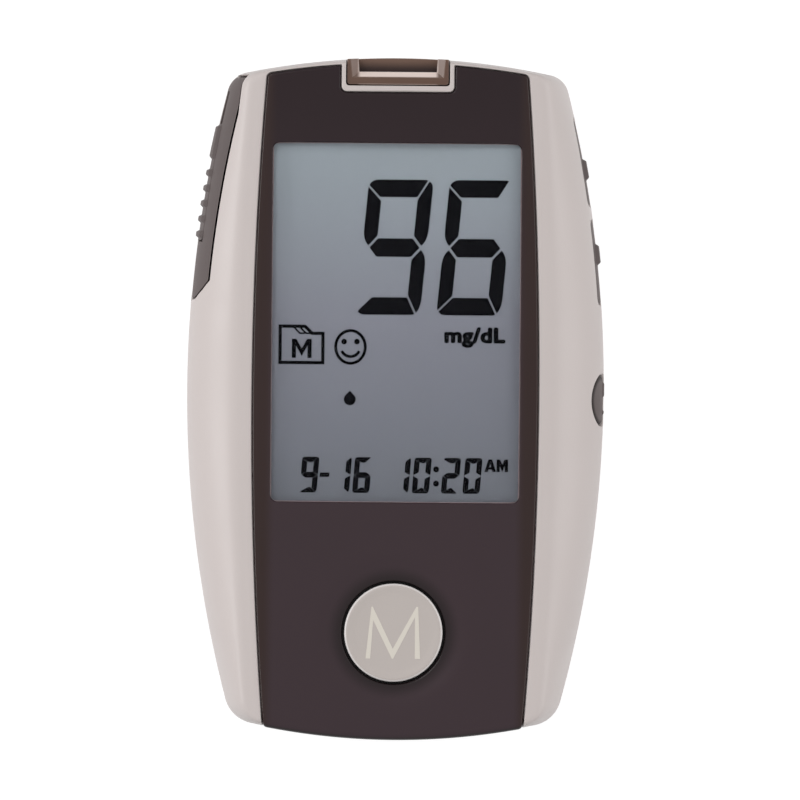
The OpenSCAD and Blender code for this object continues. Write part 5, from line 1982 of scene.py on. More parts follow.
@dataclass
class FrontCover:
    """The dark front cover with its display window, key dish and chin, and the clear lens."""

    form: CasingForm
    casing: Casing
    node: Span = field(default_factory=lambda: Span.of("front_panel"))
    lens: Span = field(default_factory=lambda: Span.of("display_window"))
    key: Span = field(default_factory=lambda: Span.of("main_key"))
    edge_r: float = 0.28
    end_r: float = 0.9
    end_from: float = -43.5
    end_to: float = -47.0
    dish_r: float = 11.2
    dish_t: float = 0.52
    hole_r: float = 7.25
    window_gap: float = 0.1
    frame_gap: float = 0.15
    lens_gap: float = 0.4
    film_t: float = 0.1

    def top(self, x: np.ndarray, y: np.ndarray) -> np.ndarray:
        """Height of the cover, lower in the dish round the key."""
        away = np.hypot(x - self.key.middle.x, y - self.key.middle.y)
        share = (self.dish_r - away) / (self.dish_r - self.hole_r)
        return self.form.crown(x) - smooth(share, self.dish_t)

    def rim(self, angle: float) -> np.ndarray:
        """A ring of the rounded edge, which is rounder at the lower end.

        Args:
            angle: How far round the edge it lies, in radians from its foot.

        Returns:
            The ring's points.
        """
        turn = 1 - math.cos(angle)
        line = self.form.panel_line(-self.edge_r * turn, -self.end_r * turn)
        ring = replace(line, steps=(34, 10, 120, 10, 34)).whole()
        share = (self.end_from - ring[:, 1]) / (self.end_from - self.end_to)
        radius = self.edge_r + smooth(share, self.end_r - self.edge_r)
        fall = radius * (1 - math.sin(angle))
        return at_height(ring, self.top(ring[:, 0], ring[:, 1]) - fall)

    def cover(self) -> Solid:
        """The cover, from the deck to its crowned front, with its chin over the lower end."""
        form = self.form
        deck = self.casing.deck_top
        rings = [self.rim(0.0)]
        rings[0][:, 2] = deck
        rings += [self.rim(math.radians(15 * k)) for k in range(7)]
        slab = Solid.stack(rings, self.top, 72)
        line = form.panel_line().whole()
        chin = Solid.prism(line, self.node.low.z, deck + 0.4)
        core = Solid.rod(0, form.end_y, 0, FAR_UP, form.low_r - self.casing.chin_t, 720)
        chin = chin.cut(core).within(Solid.block((-FAR_OUT, -60, 0), (FAR_OUT, 0, FAR_UP)))
        sight, key = self.lens.middle, self.key.middle
        gap = 2 * self.window_gap
        width, length = self.lens.size.x + gap, self.lens.size.y + gap

        window = growing_rect(sight.x, sight.y, width, length, 1.1)
        hole = growing_circle(key.x, key.y, self.hole_r, 128)

        def frame_room(by: float) -> Line:
            """Outline of the room for the frame of the strip port."""
            return self.casing.frame_line(self.frame_gap + by)

        low, over = deck - 1, form.depth + 3
        return slab.joined(chin).cut(
            flared(window, form.crown, low, 0.16, over),
            flared(hole, self.top, low, 0.3, over),
            flared(frame_room, form.crown, low, 0.25, over),
        )

    def sight_line(self, by: float = 0.0) -> Bow:
        """The outline of the lens.

        Args:
            by: Distance that it is moved outwards.

        Returns:
            The outline.
        """
        half, straight = self.lens.size / 2, 4000.0
        middle = self.lens.middle.y
        return Bow(
            half.x + by,
            straight,
            middle,
            middle + half.y + by,
            straight,
            middle - half.y - by,
            straight,
            1.0 + by,
            (24, 6, 60, 6, 24),
        )

    def window_pane(self) -> Solid:
        """The lens, whose front follows the cover."""
        low = self.casing.deck_top + self.lens_gap

        def front(x: np.ndarray, y: np.ndarray) -> np.ndarray:
            """Height of the lens, just below the cover."""
            return self.form.crown(x) - 0.08

        rings = [at_height(self.sight_line().whole(), low)]
        for by, fall in ((0.0, 0.12), (-0.04, 0.04), (-0.12, 0.0)):
            ring = self.sight_line(by).whole()
            rings.append(at_height(ring, front(ring[:, 0], ring[:, 1]) - fall))
        return Solid.stack(rings, front, 40)

    def build(self) -> None:
        """Make the cover, the lens and the display's face."""
        cover, pane, body = self.cover(), self.window_pane(), Body.CASING
        make_piece(cover, "front_cover", body, "dark_panel", DARK_COVER, "front_panel")
        make_piece(pane, "window_pane", body, "clear_window", LENS, "display_window")
        deck = self.casing.deck_top
        face = Solid.prism(self.sight_line(0.16).whole(), deck, deck + self.film_t)
        middle, half = self.lens.middle, self.lens.size / 2
        # The film's painted edge highlight follows the outline of the lens.
        film = replace(LCD_FACE, name="display_film", sight=(middle.x, middle.y, half.x, half.y))
        make_piece(face, "display_face", Body.CASING, "display_grey", film)


Cut = tuple[float, float, float]


def clipped(outline: Line, cuts: Sequence[Cut], inset: float) -> Line:
    """A convex outline clipped by lines.

    Args:
        outline: Points of the convex outline.
        cuts: Lines, each as a point and an angle in degrees; what lies on its left is kept.
        inset: Distance that each line is moved to its left.

    Returns:
        The clipped outline.
    """
    points = list(outline)
    for x, y, degrees in cuts:
        turn = math.radians(degrees)
        left = np.array([-math.sin(turn), math.cos(turn)])
        origin = np.array([x, y]) + left * inset
        kept = []
        for a, b in zip(points, points[1:] + points[:1]):
            side_a, side_b = float((a - origin) @ left), float((b - origin) @ left)
            if side_a >= 0:
                kept.append(a)
            if side_a * side_b < 0:
                kept.append(a + (b - a) * side_a / (side_a - side_b))
        points = kept
    return np.array(points)


def soft_box(low: Pair, high: Pair, corners: Sequence[Pair]) -> Line:
    """A box whose four corners are rounded to ellipses.

    Args:
        low: Lower left corner.
        high: Upper right corner.
        corners: Half-axes at the upper right, upper left, lower left and lower right corner.

    Returns:
        The outline, counter-clockwise.
    """
    places = [(high[0], high[1], -1, -1), (low[0], high[1], 1, -1)]
    places += [(low[0], low[1], 1, 1), (high[0], low[1], -1, 1)]
    parts = []
    for turn, ((x, y, sx, sy), (rx, ry)) in enumerate(zip(places, corners)):
        angles = np.linspace(0, math.pi / 2, 9) + turn * math.pi / 2
        centre = np.array([x + sx * rx, y + sy * ry])
        parts.append(centre + np.stack([rx * np.cos(angles), ry * np.sin(angles)], axis=1))
    return np.concatenate(parts)


@dataclass(frozen=True)
class SevenSegment:
    """A leaning digit of seven rounded segments."""

    width: float
    height: float
    bar: float
    post: float
    gap: float
    lean: float
    waist: float = 1.0
    steep: float = 1.0
    drawn_bar: ClassVar[float] = 2.45
    shapes: ClassVar[dict[str, str]] = {
        "0": "abcdef",
        "1": "bc",
        "2": "abged",
        "6": "afgecd",
        "9": "abcdfg",
    }

    @property
    def scale(self) -> float:
        """Size of the corners and mitres against those of the large digits."""
        return self.bar / self.drawn_bar

    def segments(self) -> dict[str, Line]:
        """The outlines of the seven segments, upright, with the lower left corner at the origin.

        The names run clockwise from the top: a, b, c, d, e, f, and g in the middle.
        """
        w, h, k = self.width, self.height, self.scale
        mid = 0.497 * h
        post = self.post
        waist = (1.6 * k * self.waist, 2.4 * k * self.waist)
        round_corner = (1.25 * k, 1.25 * k)
        upper = soft_box((0, mid), (w, h), [round_corner, round_corner, waist, waist])
        foot = [waist, waist, round_corner, (1.2 * k, 2.3 * k)]
        lower = soft_box((0, 0), (w, mid), foot)
        right, tip = w - 0.85 * k, 0.9 * k * self.waist
        top_left, top_right = (0, h - 0.85 * k), (right, h - 0.5 * k)
        low_left, low_right = (0, 0.4 * k), (right, 0.5 * k)
        inset = self.gap / 2

        def part(outline: Line, mitres: Sequence[Cut], face: Cut) -> Line:
            """One segment: mitred at its ends and cut straight on its inner face."""
            ends = []
            for x, y, degrees in mitres:
                turn = math.radians(degrees)
                angle = math.atan2(self.steep * math.sin(turn), math.cos(turn))
                ends.append((x, y, math.degrees(angle)))
            return clipped(clipped(outline, ends, inset), [face], 0)

        above, below = mid + 0.2 * k, mid - 0.2 * k
        g_half = 1.29 * k
        return {
            "a": part(upper, [(*top_left, -45), (*top_right, 61)], (0, h - self.bar, 0)),
            "b": part(upper, [(*top_right, 241), (w - tip, above, 310)], (w - post, 0, 270)),
            "c": part(lower, [(w - tip, below, 230), (*low_right, 299)], (w - post, 0, 270)),
            "d": part(lower, [(*low_left, 227), (*low_right, 119)], (0, self.bar, 180)),
            "e": part(lower, [(tip, below, 130), (*low_left, 47)], (post, 0, 90)),
            "f": part(upper, [(*top_left, 135), (tip, above, 50)], (post, 0, 90)),
            "g": np.array(
                [
                    (tip + inset, mid),
                    (2.1 * k, mid - g_half),
                    (w - 2.1 * k, mid - g_half),
                    (w - tip - inset, mid),
                    (w - 2.1 * k, mid + g_half),
                    (2.1 * k, mid + g_half),
                ]
            ),
        }

    def lines(self, figure: str, x: float, y: float) -> list[Line]:
        """The leaning outlines of one figure whose lower left corner is at a place."""
        found = []
        for name in self.shapes[figure]:
            line = self.segments()[name]
            leaning = line + np.stack([self.lean * line[:, 1], np.zeros(len(line))], axis=1)
            found.append(leaning + [x, y])
        return found


def ribbon(points: Sequence[Pair], width: float, closed: bool = False) -> list[Line]:
    """The outlines of a line of even width.

    Args:
        points: The middle of the line.
        width: Its width.
        closed: Whether it runs back to its first point.

    Returns:
        One outline for an open line; the outer and the inner outline for a closed one.
    """
    middle = np.array(points, float)
    before = np.roll(middle, 1, axis=0)
    after = np.roll(middle, -1, axis=0)
    if not closed:
        before[0] = 2 * middle[0] - middle[1]
        after[-1] = 2 * middle[-1] - middle[-2]
    way_in = middle - before
    way_out = after - middle
    way_in /= np.linalg.norm(way_in, axis=1)[:, None]
    way_out /= np.linalg.norm(way_out, axis=1)[:, None]
    left = np.stack([-way_in[:, 1], way_in[:, 0]], axis=1)
    left += np.stack([-way_out[:, 1], way_out[:, 0]], axis=1)
    left /= np.linalg.norm(left, axis=1)[:, None]
    normal = np.stack([-way_out[:, 1], way_out[:, 0]], axis=1)
    reach = np.clip((left * normal).sum(axis=1), 0.35, 1)[:, None]
    offset = left * width / 2 / reach
    if closed:
        return [middle - offset, middle + offset]
    return [np.concatenate([middle - offset, (middle + offset)[::-1]])]


def lettering(words: str, low: Pair, high: Pair, z: Pair, bold: float) -> Solid:
    """Plain letters as a thin solid.

    Args:
        words: What they say.
        low: Lower left corner of the room they fill.
        high: Upper right corner of that room.
        z: Lowest and highest height.
        bold: How much the strokes grow, for letters of size 1.

    Returns:
        The letters.
    """
    curve = bpy.data.curves.new("letters", "FONT")
    curve.body = words
    curve.size = 1.0
    curve.extrude = 0.5
    curve.space_character = 1.06
    curve.resolution_u = 6
    holder = placed("letters", curve)
    thin = Solid.shown_by(holder)
    bpy.data.objects.remove(holder)
    bpy.data.curves.remove(curve)
    shifts = [(bold * math.cos(k * math.pi / 4), bold * math.sin(k * math.pi / 4)) for k in range(8)]
    solid = thin.with_others(*[thin.moved(x, y, 0.004 * k) for k, (x, y) in enumerate(shifts, 1)])
    start, end = solid.points.min(axis=0), solid.points.max(axis=0)
    goal_low, goal_high = np.array([*low, z[0]]), np.array([*high, z[1]])
    share = (solid.points - start) / (end - start)
    solid.points = goal_low + share * (goal_high - goal_low)
    return solid


@dataclass
class DisplayContent:
    """What the liquid crystal display shows: a reading, its unit, the date and the time."""

    base: float
    ink_t: float = 0.05
    sunk: float = 0.04
    big: SevenSegment = SevenSegment(9.06, 19.0, 2.45, 1.98, 0.25, 0.095)
    small: SevenSegment = SevenSegment(2.42, 5.02, 0.78, 0.76, 0.03, 0.08, 0.3, 0.5)
    reading_y: float = 11.77
    reading_figures: Figures = (("9", -5.72), ("6", 5.64))
    clock_y: float = -13.3
    clock_figures: Figures = (
        *(("9", -13.39), ("1", -8.82), ("6", -5.98)),
        *(("1", -0.51), ("0", 2.39), ("2", 6.49), ("0", 9.52)),
    )

    def plates(self, outlines: Sequence[Line]) -> Solid:
        """Thin plates on the display's face."""
        low, high = self.base - self.sunk, self.base + self.ink_t
        solids = [Solid.prism(line, low, high) for line in outlines]
        return solids[0].with_others(*solids[1:])

    def reading(self) -> Solid:
        """The large reading."""
        y, lines = self.reading_y, []
        for figure, x in self.reading_figures:
            lines += self.big.lines(figure, x, y)
        return self.plates(lines)

    def clock(self) -> Solid:
        """The date and the time, with a dash and a colon between their figures."""
        lines: list[Line] = []
        for figure, x in self.clock_figures:
            lines += self.small.lines(figure, x, self.clock_y)
        lines.append(np.array([(-10.55, -11.1), (-9.2, -11.1), (-9.15, -10.48), (-10.5, -10.48)]))
        lines += [circle(5.82, y, 0.42, 24) for y in (-9.9, -11.9)]
        return self.plates(lines)

    def ring(self, outlines: Sequence[Line]) -> Solid:
        """A closed line as a thin solid, from its outer and inner outline."""
        outer, inner = outlines
        if abs(polygon_area(outer)) < abs(polygon_area(inner)):
            outer, inner = inner, outer
        low, top = self.base - self.sunk, self.base + self.ink_t
        return Solid.prism(outer, low, top).cut(Solid.prism(inner, low - 1, top + 1))

    def boxed(self, low: Pair, high: Pair, *strokes: Line) -> Solid:
        """Strokes fused to one sign and cut off square at the sides of a box."""
        plates = [self.plates([stroke]) for stroke in strokes]
        return plates[0].joined(*plates[1:]).within(Solid.block((*low, 0), (*high, FAR_UP)))

    def letter_m(self, low: Pair, high: Pair, stroke: float) -> Solid:
        """A bold M that fills a box."""
        (x0, y0), (x1, y1) = low, high
        half, middle = stroke / 2, (x0 + x1) / 2
        posts = [ribbon([(x, y0 - 1), (x, y1 + 1)], stroke)[0] for x in (x0 + half, x1 - half)]
        valley = (middle, y0 + 0.3 * (y1 - y0))
        slopes = [(x0 + half, y1 + 0.1), valley, (x1 - half, y1 + 0.1)]
        return self.boxed(low, high, *posts, ribbon(slopes, 0.9 * stroke)[0])

    def folder(self) -> Solid:
        """A folder with the letter of the meter's memory on it."""
        left, right, low, body_top = -16.25, -10.24, 4.95, 9.07
        tab_top = 10.05
        edge = [(left, low), (right, low), (right, body_top), (-11.75, body_top)]
        edge += [(-12.75, tab_top), (left, tab_top)]
        flaps = []
        for x, end in ((-14.45, 0.95), (-13.6, 1.0)):
            line = [(x, tab_top), (x + 0.35, tab_top - 0.35), (x + end, body_top)]
            flaps.append(self.plates(ribbon([*line, (x + end + 0.7, body_top)], 0.24)))
        outline = self.ring(ribbon(edge, 0.46, closed=True)).joined(*flaps)
        return outline.with_others(self.letter_m((-14.6, 5.6), (-11.82, 8.28), 0.58))

    def smile(self) -> Solid:
        """A plain smiling face."""
        x, y = -6.36, 7.2
        stroke = 0.42

        def oval(y0: float, rx: float, ry: float, angles: np.ndarray) -> list[Pair]:
            """Points of an oval about a middle."""
            return [(x + rx * math.cos(a), y0 + ry * math.sin(a)) for a in angles]

        ring = oval(y, 2.08, 2.3, np.linspace(0, 2 * math.pi, 49)[:-1])
        mouth = oval(y - 0.15, 1.3, 1.2, np.linspace(math.radians(200), math.radians(340), 13))
        eyes = [circle(x + apart, y + 0.75, 0.4, 24) for apart in (-0.9, 0.9)]
        face = self.ring(ribbon(ring, stroke, closed=True))
        return face.with_others(self.plates(ribbon(mouth, stroke)), self.plates(eyes))

    def drop(self) -> Solid:
        """A small drop, the sign for the kind of test."""
        x, low, r = -6.4, -1.0, 0.85
        bulb = arc((x, low + r), r, math.radians(150), math.radians(390), 24)
        outline = np.concatenate([bulb, np.array([(x, 1.05)])])
        return self.plates([outline])

    def half_day(self) -> Solid:
        """The letters for the first half of the day."""
        low, high = -10.2, -8.45
        slopes = ribbon([(12.66, low - 0.6), (13.42, high + 0.1), (14.18, low - 0.6)], 0.5)[0]
        bar = ribbon([(12.9, low + 0.5), (13.94, low + 0.5)], 0.36)[0]
        letter_a = self.boxed((12.3, low), (14.5, high), slopes, bar)
        return letter_a.with_others(self.letter_m((14.3, low), (15.92, high), 0.46))

    def build(self) -> None:
        """Make every sign on the display."""
        z = (self.base - self.sunk, self.base + self.ink_t)
        signs = {
            "reading_figures": self.reading(),
            "clock_figures": self.clock(),
            "memory_sign": self.folder(),
            "smile_sign": self.smile(),
            "drop_sign": self.drop(),
            "unit_letters": lettering("mg/dL", (6.8, 7.2), (15.41, 10.12), z, 0.055),
            "half_day_letters": self.half_day(),
        }
        for name, solid in signs.items():
            make_piece(solid, name, Body.CASING, "chip_black", LCD_INK)


def polygon_area(line: Line) -> float:
    """Signed area of a closed outline."""
    x, y = line[:, 0], line[:, 1]
    return float((x * np.roll(y, -1) - y * np.roll(x, -1)).sum() / 2)


# ---------------------------------------------------------------- keys and the strip port

ARC_UP = [math.radians(15 * k) for k in range(8)]


@dataclass
class MainKey:
    """The round main key, its rim a little proud of its hollow face, with an inlaid letter."""

    radius: float = 6.9
    node: Span = field(default_factory=lambda: Span.of("main_key"))
    hollow: float = 0.22
    flange_t: float = 1.6
    flange_edge: float = 0.2
    letter_t: float = 0.3
    letter_h: float = 7.3
    letter_x: float = 0.1
    inlay_rise: float = 0.02

    def profile(self, raised: float = 0.0) -> list[Pair]:
        """The key's outline from its axis.

        Args:
            raised: How much higher its hollow face lies.

        Returns:
            The radius and the height of each point.
        """
        low, top, r = self.node.low.z, self.node.high.z, self.radius
        flange, edge_w, flange_top = self.node.size.x / 2, self.flange_edge, low + self.flange_t
        floor = top - self.hollow + raised
        edge = [(r - 0.45 + 0.45 * math.cos(a), top - 0.5 + 0.42 * math.sin(a)) for a in ARC_UP]
        inner = [(r - 0.8, top - 0.11), (r - 1.2, floor + 0.03), (r - 1.7, floor), (2.5, floor)]
        return [
            (0, low),
            (flange - edge_w, low),
            (flange, low + edge_w),
            (flange, low + 1.4),
            (flange - edge_w, flange_top),
            (r, flange_top),
            *edge,
            *inner,
            (0, floor),
        ]

    def letter(self) -> Line:
        """The letter's outline, with one broad and one narrow slope."""
        y0 = -self.letter_h / 2
        y1 = -y0
        return np.array(
            [
                (-3.99, y0),
                (-3.33, y0),
                (-2.95, y1 - 1.9),
                (-0.28, y0),
                (-0.1, y0),
                (2.92, y1 - 1.45),
                (2.94, y0),
                (3.69, y0),
                (3.36, y1),
                (3.1, y1),
                (-0.17, y0 + 1.4),
                (-3.02, y1),
                (-3.2, y1),
            ]
        )

    def build(self) -> None:
        """Make the key and its letter."""
        place = self.node.middle
        key = Solid.lathe(self.profile(), 128).moved(place.x, place.y)
        top = self.node.high.z
        # The painted shade in the gap starts half a millimetre below the key's top.
        plastic = replace(KEY_PLASTIC, centre=(place.x, place.y), gap_shade_z=top - 0.5)
        body = Body.MAIN_KEY
        make_piece(key, "main_key_cap", body, "key_white", plastic, "main_key")
        line = self.letter() + [self.letter_x, 0.0]
        bar = Solid.prism(line, top - self.letter_t - self.hollow, top + 1)
        face = Solid.lathe(self.profile(self.inlay_rise), 128)
        inlay = bar.within(face).moved(place.x, place.y)
        make_piece(inlay, "main_key_letter", body, "legend_white", LEGEND_INK, "key_legend")


@dataclass
class LongKey:
    """One of the two long side keys, with a nub to feel for."""

    form: CasingForm
    name: str
    body: Body
    nub_share: float
    depth: float = 2.5
    flange_t: float = 0.9
    nub: Pair = (3.2, 2.8)
    sunk: float = 0.08
    nub_t: float = 0.5
    corner_r: float = 0.9

    @staticmethod
    def face(node: str) -> tuple[Pair, Pair]:
        """The lowest and highest level and height of a key's face, inside its flange."""
        span = Span.of(node)
        beyond = 0.9 if node == "up_key" else -0.7
        return (span.low.y + 0.7, span.low.z + 0.4), (span.high.y + beyond, span.high.z - 1.35)

    def build(self) -> None:
        """Make the key."""
        low, high = self.face(self.name)
        outline = rect_between(low, high, self.corner_r)
        nub_y = low[0] + self.nub_share * (high[0] - low[0])
        nub_line = round_rect(nub_y, low[1] + 0.8 + self.nub[1] / 2, *self.nub, 0.8)

        def relief(y: np.ndarray, z: np.ndarray, inside: np.ndarray) -> np.ndarray:
            """The nub's height."""
            return self.nub_t * smooth(depth_in(y, z, nub_line) / 0.5) - self.sunk

        pad = SidePad(self.form, Side.RIGHT, outline, self.depth + 0.1).solid(relief)
        span = Span.of(self.name)
        flange = self.form.side_slab(
            Side.RIGHT,
            (span.low.y, max(span.high.y, high[0] + 0.5)),
            (span.low.z, span.high.z),
            self.depth + self.flange_t,
            self.depth,
        )
        cap = pad.joined(flange)
        make_piece(cap, self.name + "_cap", self.body, "grey_trim", GREY_TRIM, self.name)


@dataclass
class LightKey:
    """The round side key, with a raised bar and a dot."""

    form: CasingForm
    place: ClassVar[tuple[float, float, float]] = (0.0, 14.6, 3.4)
    depth: float = 2.5
    flange_t: float = 0.9
    flange_r: float = 4.4
    flange_z: Pair = (10.1, 17.0)
    mark_t: float = 0.2
    sunk: float = 0.12

    def build(self) -> None:
        """Make the key."""
        y0, z0, r = self.place
        bar_line = round_rect(y0 + 1.5, z0 - 1.7, 2.3, 1.4, 0.5)
        dot_line = circle(y0 - 1.7, z0 - 1.5, 0.42, 24)

        def relief(y: np.ndarray, z: np.ndarray, inside: np.ndarray) -> np.ndarray:
            """The bar and the dot."""
            bar = smooth(depth_in(y, z, bar_line) / 0.3)
            dot = smooth(depth_in(y, z, dot_line) / 0.25)
            return self.mark_t * np.maximum(bar, dot) - self.sunk

        face = circle(y0, z0, r, 72)
        pad = SidePad(self.form, Side.RIGHT, face, self.depth + 0.1, cell=0.14)
        slab = self.form.side_slab(
            Side.RIGHT, (y0 - 5, y0 + 5), self.flange_z, self.depth + self.flange_t, self.depth
        )
        flange = slab.within(Solid.cross(circle(y0, z0, self.flange_r, 72), 0, FAR_OUT))
        cap = pad.solid(relief).joined(flange)
        make_piece(cap, "light_key_cap", Body.LIGHT_KEY, "grey_trim", ROUND_KEY, "light_key")


@dataclass
class Track:
    """The grey side piece that the ejector runs in, and its ribbed slider."""

    form: CasingForm
    depth: float = 2.2
    sunk: float = 0.1
    slider: Span = field(default_factory=lambda: Span.of("ejector_slider"))
    face_z: Pair = (10.5, 16.1)
    bed_y: Pair = (21.95, 43.2)
    bed_z: Pair = (10.35, 16.25)
    slot_y: Pair = (27.8, 37.2)
    slot_z: Pair = (10.35, 12.5)
    pad_t: float = 1.3
    grip_y: float = 5.0
    grip_t: float = 0.45
    ribs: int = 5
    rib_pitch: float = 2.16
    first_rib: float = 1.85
    arm_z: Pair = (10.7, 12.3)
    pin_z: Pair = (12.1, 13.9)
    pin_r: float = 0.8

    @staticmethod
    def outline(by: float = 0.0) -> Line:
        """The track's outline in level and height, moved outwards."""
        corners = [(14, 12.1), (15.5, 10), (44.95, 10), (44.95, 21.4), (20.8, 21.4)]
        corners += [(19.4, 21.1), (18.0, 20.4), (16.6, 19.3), (15.4, 17.9), (14.4, 16.2), (14, 14.9)]
        if by == 0:
            return np.array(corners, float)
        outer, inner = ribbon(corners, 2 * by, closed=True)
        return outer if abs(polygon_area(outer)) > abs(polygon_area(inner)) else inner

    def track(self) -> Solid:
        """The track, with the bed that the slider runs in."""
        form = self.form
        shrink = 1 - self.sunk / form.half_width
        skin = form.front().scaled(shrink, 1 - self.sunk / form.half_length, 1, form.widest_z)
        region = Solid.cross(self.outline(), -FAR_OUT, 0)
        skin = skin.within(region).cut(Solid.prism(form.shell_line(self.depth), 0, FAR_UP))
        bed = form.side_slab(Side.LEFT, self.bed_y, self.bed_z, self.pad_t + 0.1, -3)
        slot = form.side_slab(Side.LEFT, self.slot_y, self.slot_z, 4, 1)
        return skin.cut(bed, slot)

    def slide(self) -> Solid:
        """The slider with its pad, its ribs, and the arm that reaches the pusher."""
        low, high = self.slider.low, self.slider.high
        z0, z1 = self.face_z
        outline = rect_between((low.y, z0), (high.y, z1), 0.7)
        pad_from, top = high.y - self.grip_y, high.y
        ribs = [pad_from - self.first_rib - self.rib_pitch * k for k in range(self.ribs)]

        def relief(y: np.ndarray, z: np.ndarray, inside: np.ndarray) -> np.ndarray:
            """The pad and the ribs, each with sloping flanks."""
            away = np.minimum(y - pad_from, top - y)
            height = self.grip_t * smooth(away / 0.5)
            for middle in ribs:
                rib = self.grip_t * smooth((0.62 - np.abs(y - middle)) / 0.36)
                height = np.maximum(height, rib)
            return (height - self.sunk) * smooth(inside / 0.35)

        pad = SidePad(self.form, Side.LEFT, outline, self.pad_t, cell=0.14, edge=0.15).solid(relief)
        middle_y = (low.y + high.y) / 2
        reach = float(self.form.side_r * math.cos(float(self.form.side_angle(middle_y))))
        x = self.form.side_centre_x - reach
        arm_low, arm_high = self.arm_z
        arm = Solid.block((x + 1.0, middle_y - 1.5, arm_low), (x + 8.0, middle_y + 1.5, arm_high))
        pin = Solid.rod(x + 7.0, middle_y, *self.pin_z, self.pin_r)
        return pad.joined(arm, pin)

    def build(self) -> None:
        """Make the track and the slider."""
        look = ("grey_trim", GREY_TRIM)
        make_piece(self.track(), "side_track", Body.CASING, *look, "ejector_track")
        make_piece(self.slide(), "slider_grip", Body.SLIDER, *look, "ejector_slider")


@dataclass
class StripPort:
    """The brown piece that the test strip slides into."""

    form: CasingForm
    node: Span = field(default_factory=lambda: Span.of("strip_port"))
    floor_z: float = 17.9
    slot_half: float = 3.2
    slot_z: Pair = (18.0, 18.9)
    slot_end: float = 47.0
    lip: Pair = (45.1, 45.9)
    lip_z: float = 22.6
    mouth_low: Pair = (5.45, 5.7)
    mouth_high: Pair = (6.45, 6.95)
    mouth_over: float = 26.0
    body_y: float = 8.0

    def build(self) -> None:
        """Make the port piece."""
        low, high = self.node.low, self.node.high
        half = self.node.size.x / 2

        def line(d: float) -> Line:
            """The port's outline seen from the front."""
            length = self.body_y
            return round_rect(0, low.y + length / 2, 2 * half + 2 * d, length + 2 * d, 0.4)

        rings = [at_height(line(0), low.z), at_height(line(0), high.z - 0.2)]
        rings += [at_height(line(-0.06), high.z - 0.06), at_height(line(-0.2), high.z)]
        body = Solid.stack(rings).within(
            Solid.prism(self.form.shell_line(0.1), low.z - 1, high.z + 1)
        )
        end = self.form.half_length + 2

        def funnel(level: float, halves: Pair, height: float) -> np.ndarray:
            """One level of the funnel that leads a strip into the slot."""
            near, far = halves
            line = [(-near, level), (near, level), (far, end), (-far, end)]
            return at_height(np.array(line), height)

        lip_low, lip_high = self.lip
        mouth = Solid.stack(
            [
                funnel(lip_high, self.mouth_low, self.floor_z),
                funnel(lip_high, self.mouth_low, self.lip_z),
                funnel(lip_low, self.mouth_high, high.z + 0.02),
                funnel(lip_low, self.mouth_high, self.mouth_over),
            ]
        )
        slot_low, slot_high = self.slot_z
        slot = Solid.block(
            (-self.slot_half, low.y - 1, slot_low), (self.slot_half, self.slot_end, slot_high)
        )
        port = body.cut(mouth, slot)
        make_piece(port, "port_mouth", Body.CASING, "port_brown", PORT, "strip_port")


# ---------------------------------------------------------------- battery door


@dataclass
class BatteryDoor:
    """The door in the back, on two pins, with a grip and a snap tongue."""

    node: Span = field(default_factory=lambda: Span.of("battery_door"))
    half_width: float = 13.7
    hinge_y: float = 10.9
    barrel_r: float = 1.6
    pin_r: float = 0.8
    plate_t: float = 1.6
    groove_r: float = 0.55
    groove_pitch: float = 1.7

    @classmethod
    def at_hinge(cls) -> Matrix:
        """The move that lays an upright rod along the hinge's axis."""
        return Matrix.Translation((0, cls.hinge_y, cls.barrel_r)) @ ALONG_X

    def build(self) -> None:
        """Make the door."""
        low, high = self.node.low, self.node.high
        root = self.plate_t / 2
        length = self.hinge_y - low.y

        def line(d: float) -> Line:
            """The door's outline."""
            middle = (self.hinge_y + low.y) / 2
            return round_rect(0, middle, 2 * self.half_width + 2 * d, length + 2 * d, 0.5)

        rings = [at_height(line(-0.25), 0.0), at_height(line(-0.07), 0.07)]
        rings += [at_height(line(0), 0.25), at_height(line(0), self.plate_t)]
        at_hinge = self.at_hinge()
        barrel = Solid.rod(0, 0, -self.half_width, self.half_width, self.barrel_r, 64)
        pins = Solid.rod(0, 0, low.x, high.x, self.pin_r, 40)
        tongue = Solid.block((-4, -40, root), (4, -39, high.z))
        rib = Solid.block((-0.5, -37.15, root), (0.5, 5.15, 2.8))
        door = Solid.stack(rings).joined(barrel.turned(at_hinge), pins.turned(at_hinge), tongue, rib)
        grooves = []
        for k in range(5):
            y, half = low.y + 4.4 + self.groove_pitch * k, 6.5 - 0.5 * k
            groove = Solid.rod(0, 0, -half, half, self.groove_r, 24)
            grooves.append(groove.turned(Matrix.Translation((0, y, -0.18)) @ ALONG_X))
        look = ("white_casing", WHITE_CASING, "battery_door")
        make_piece(door.cut(*grooves), "door_plate", Body.DOOR, *look)


# ---------------------------------------------------------------- inner pieces


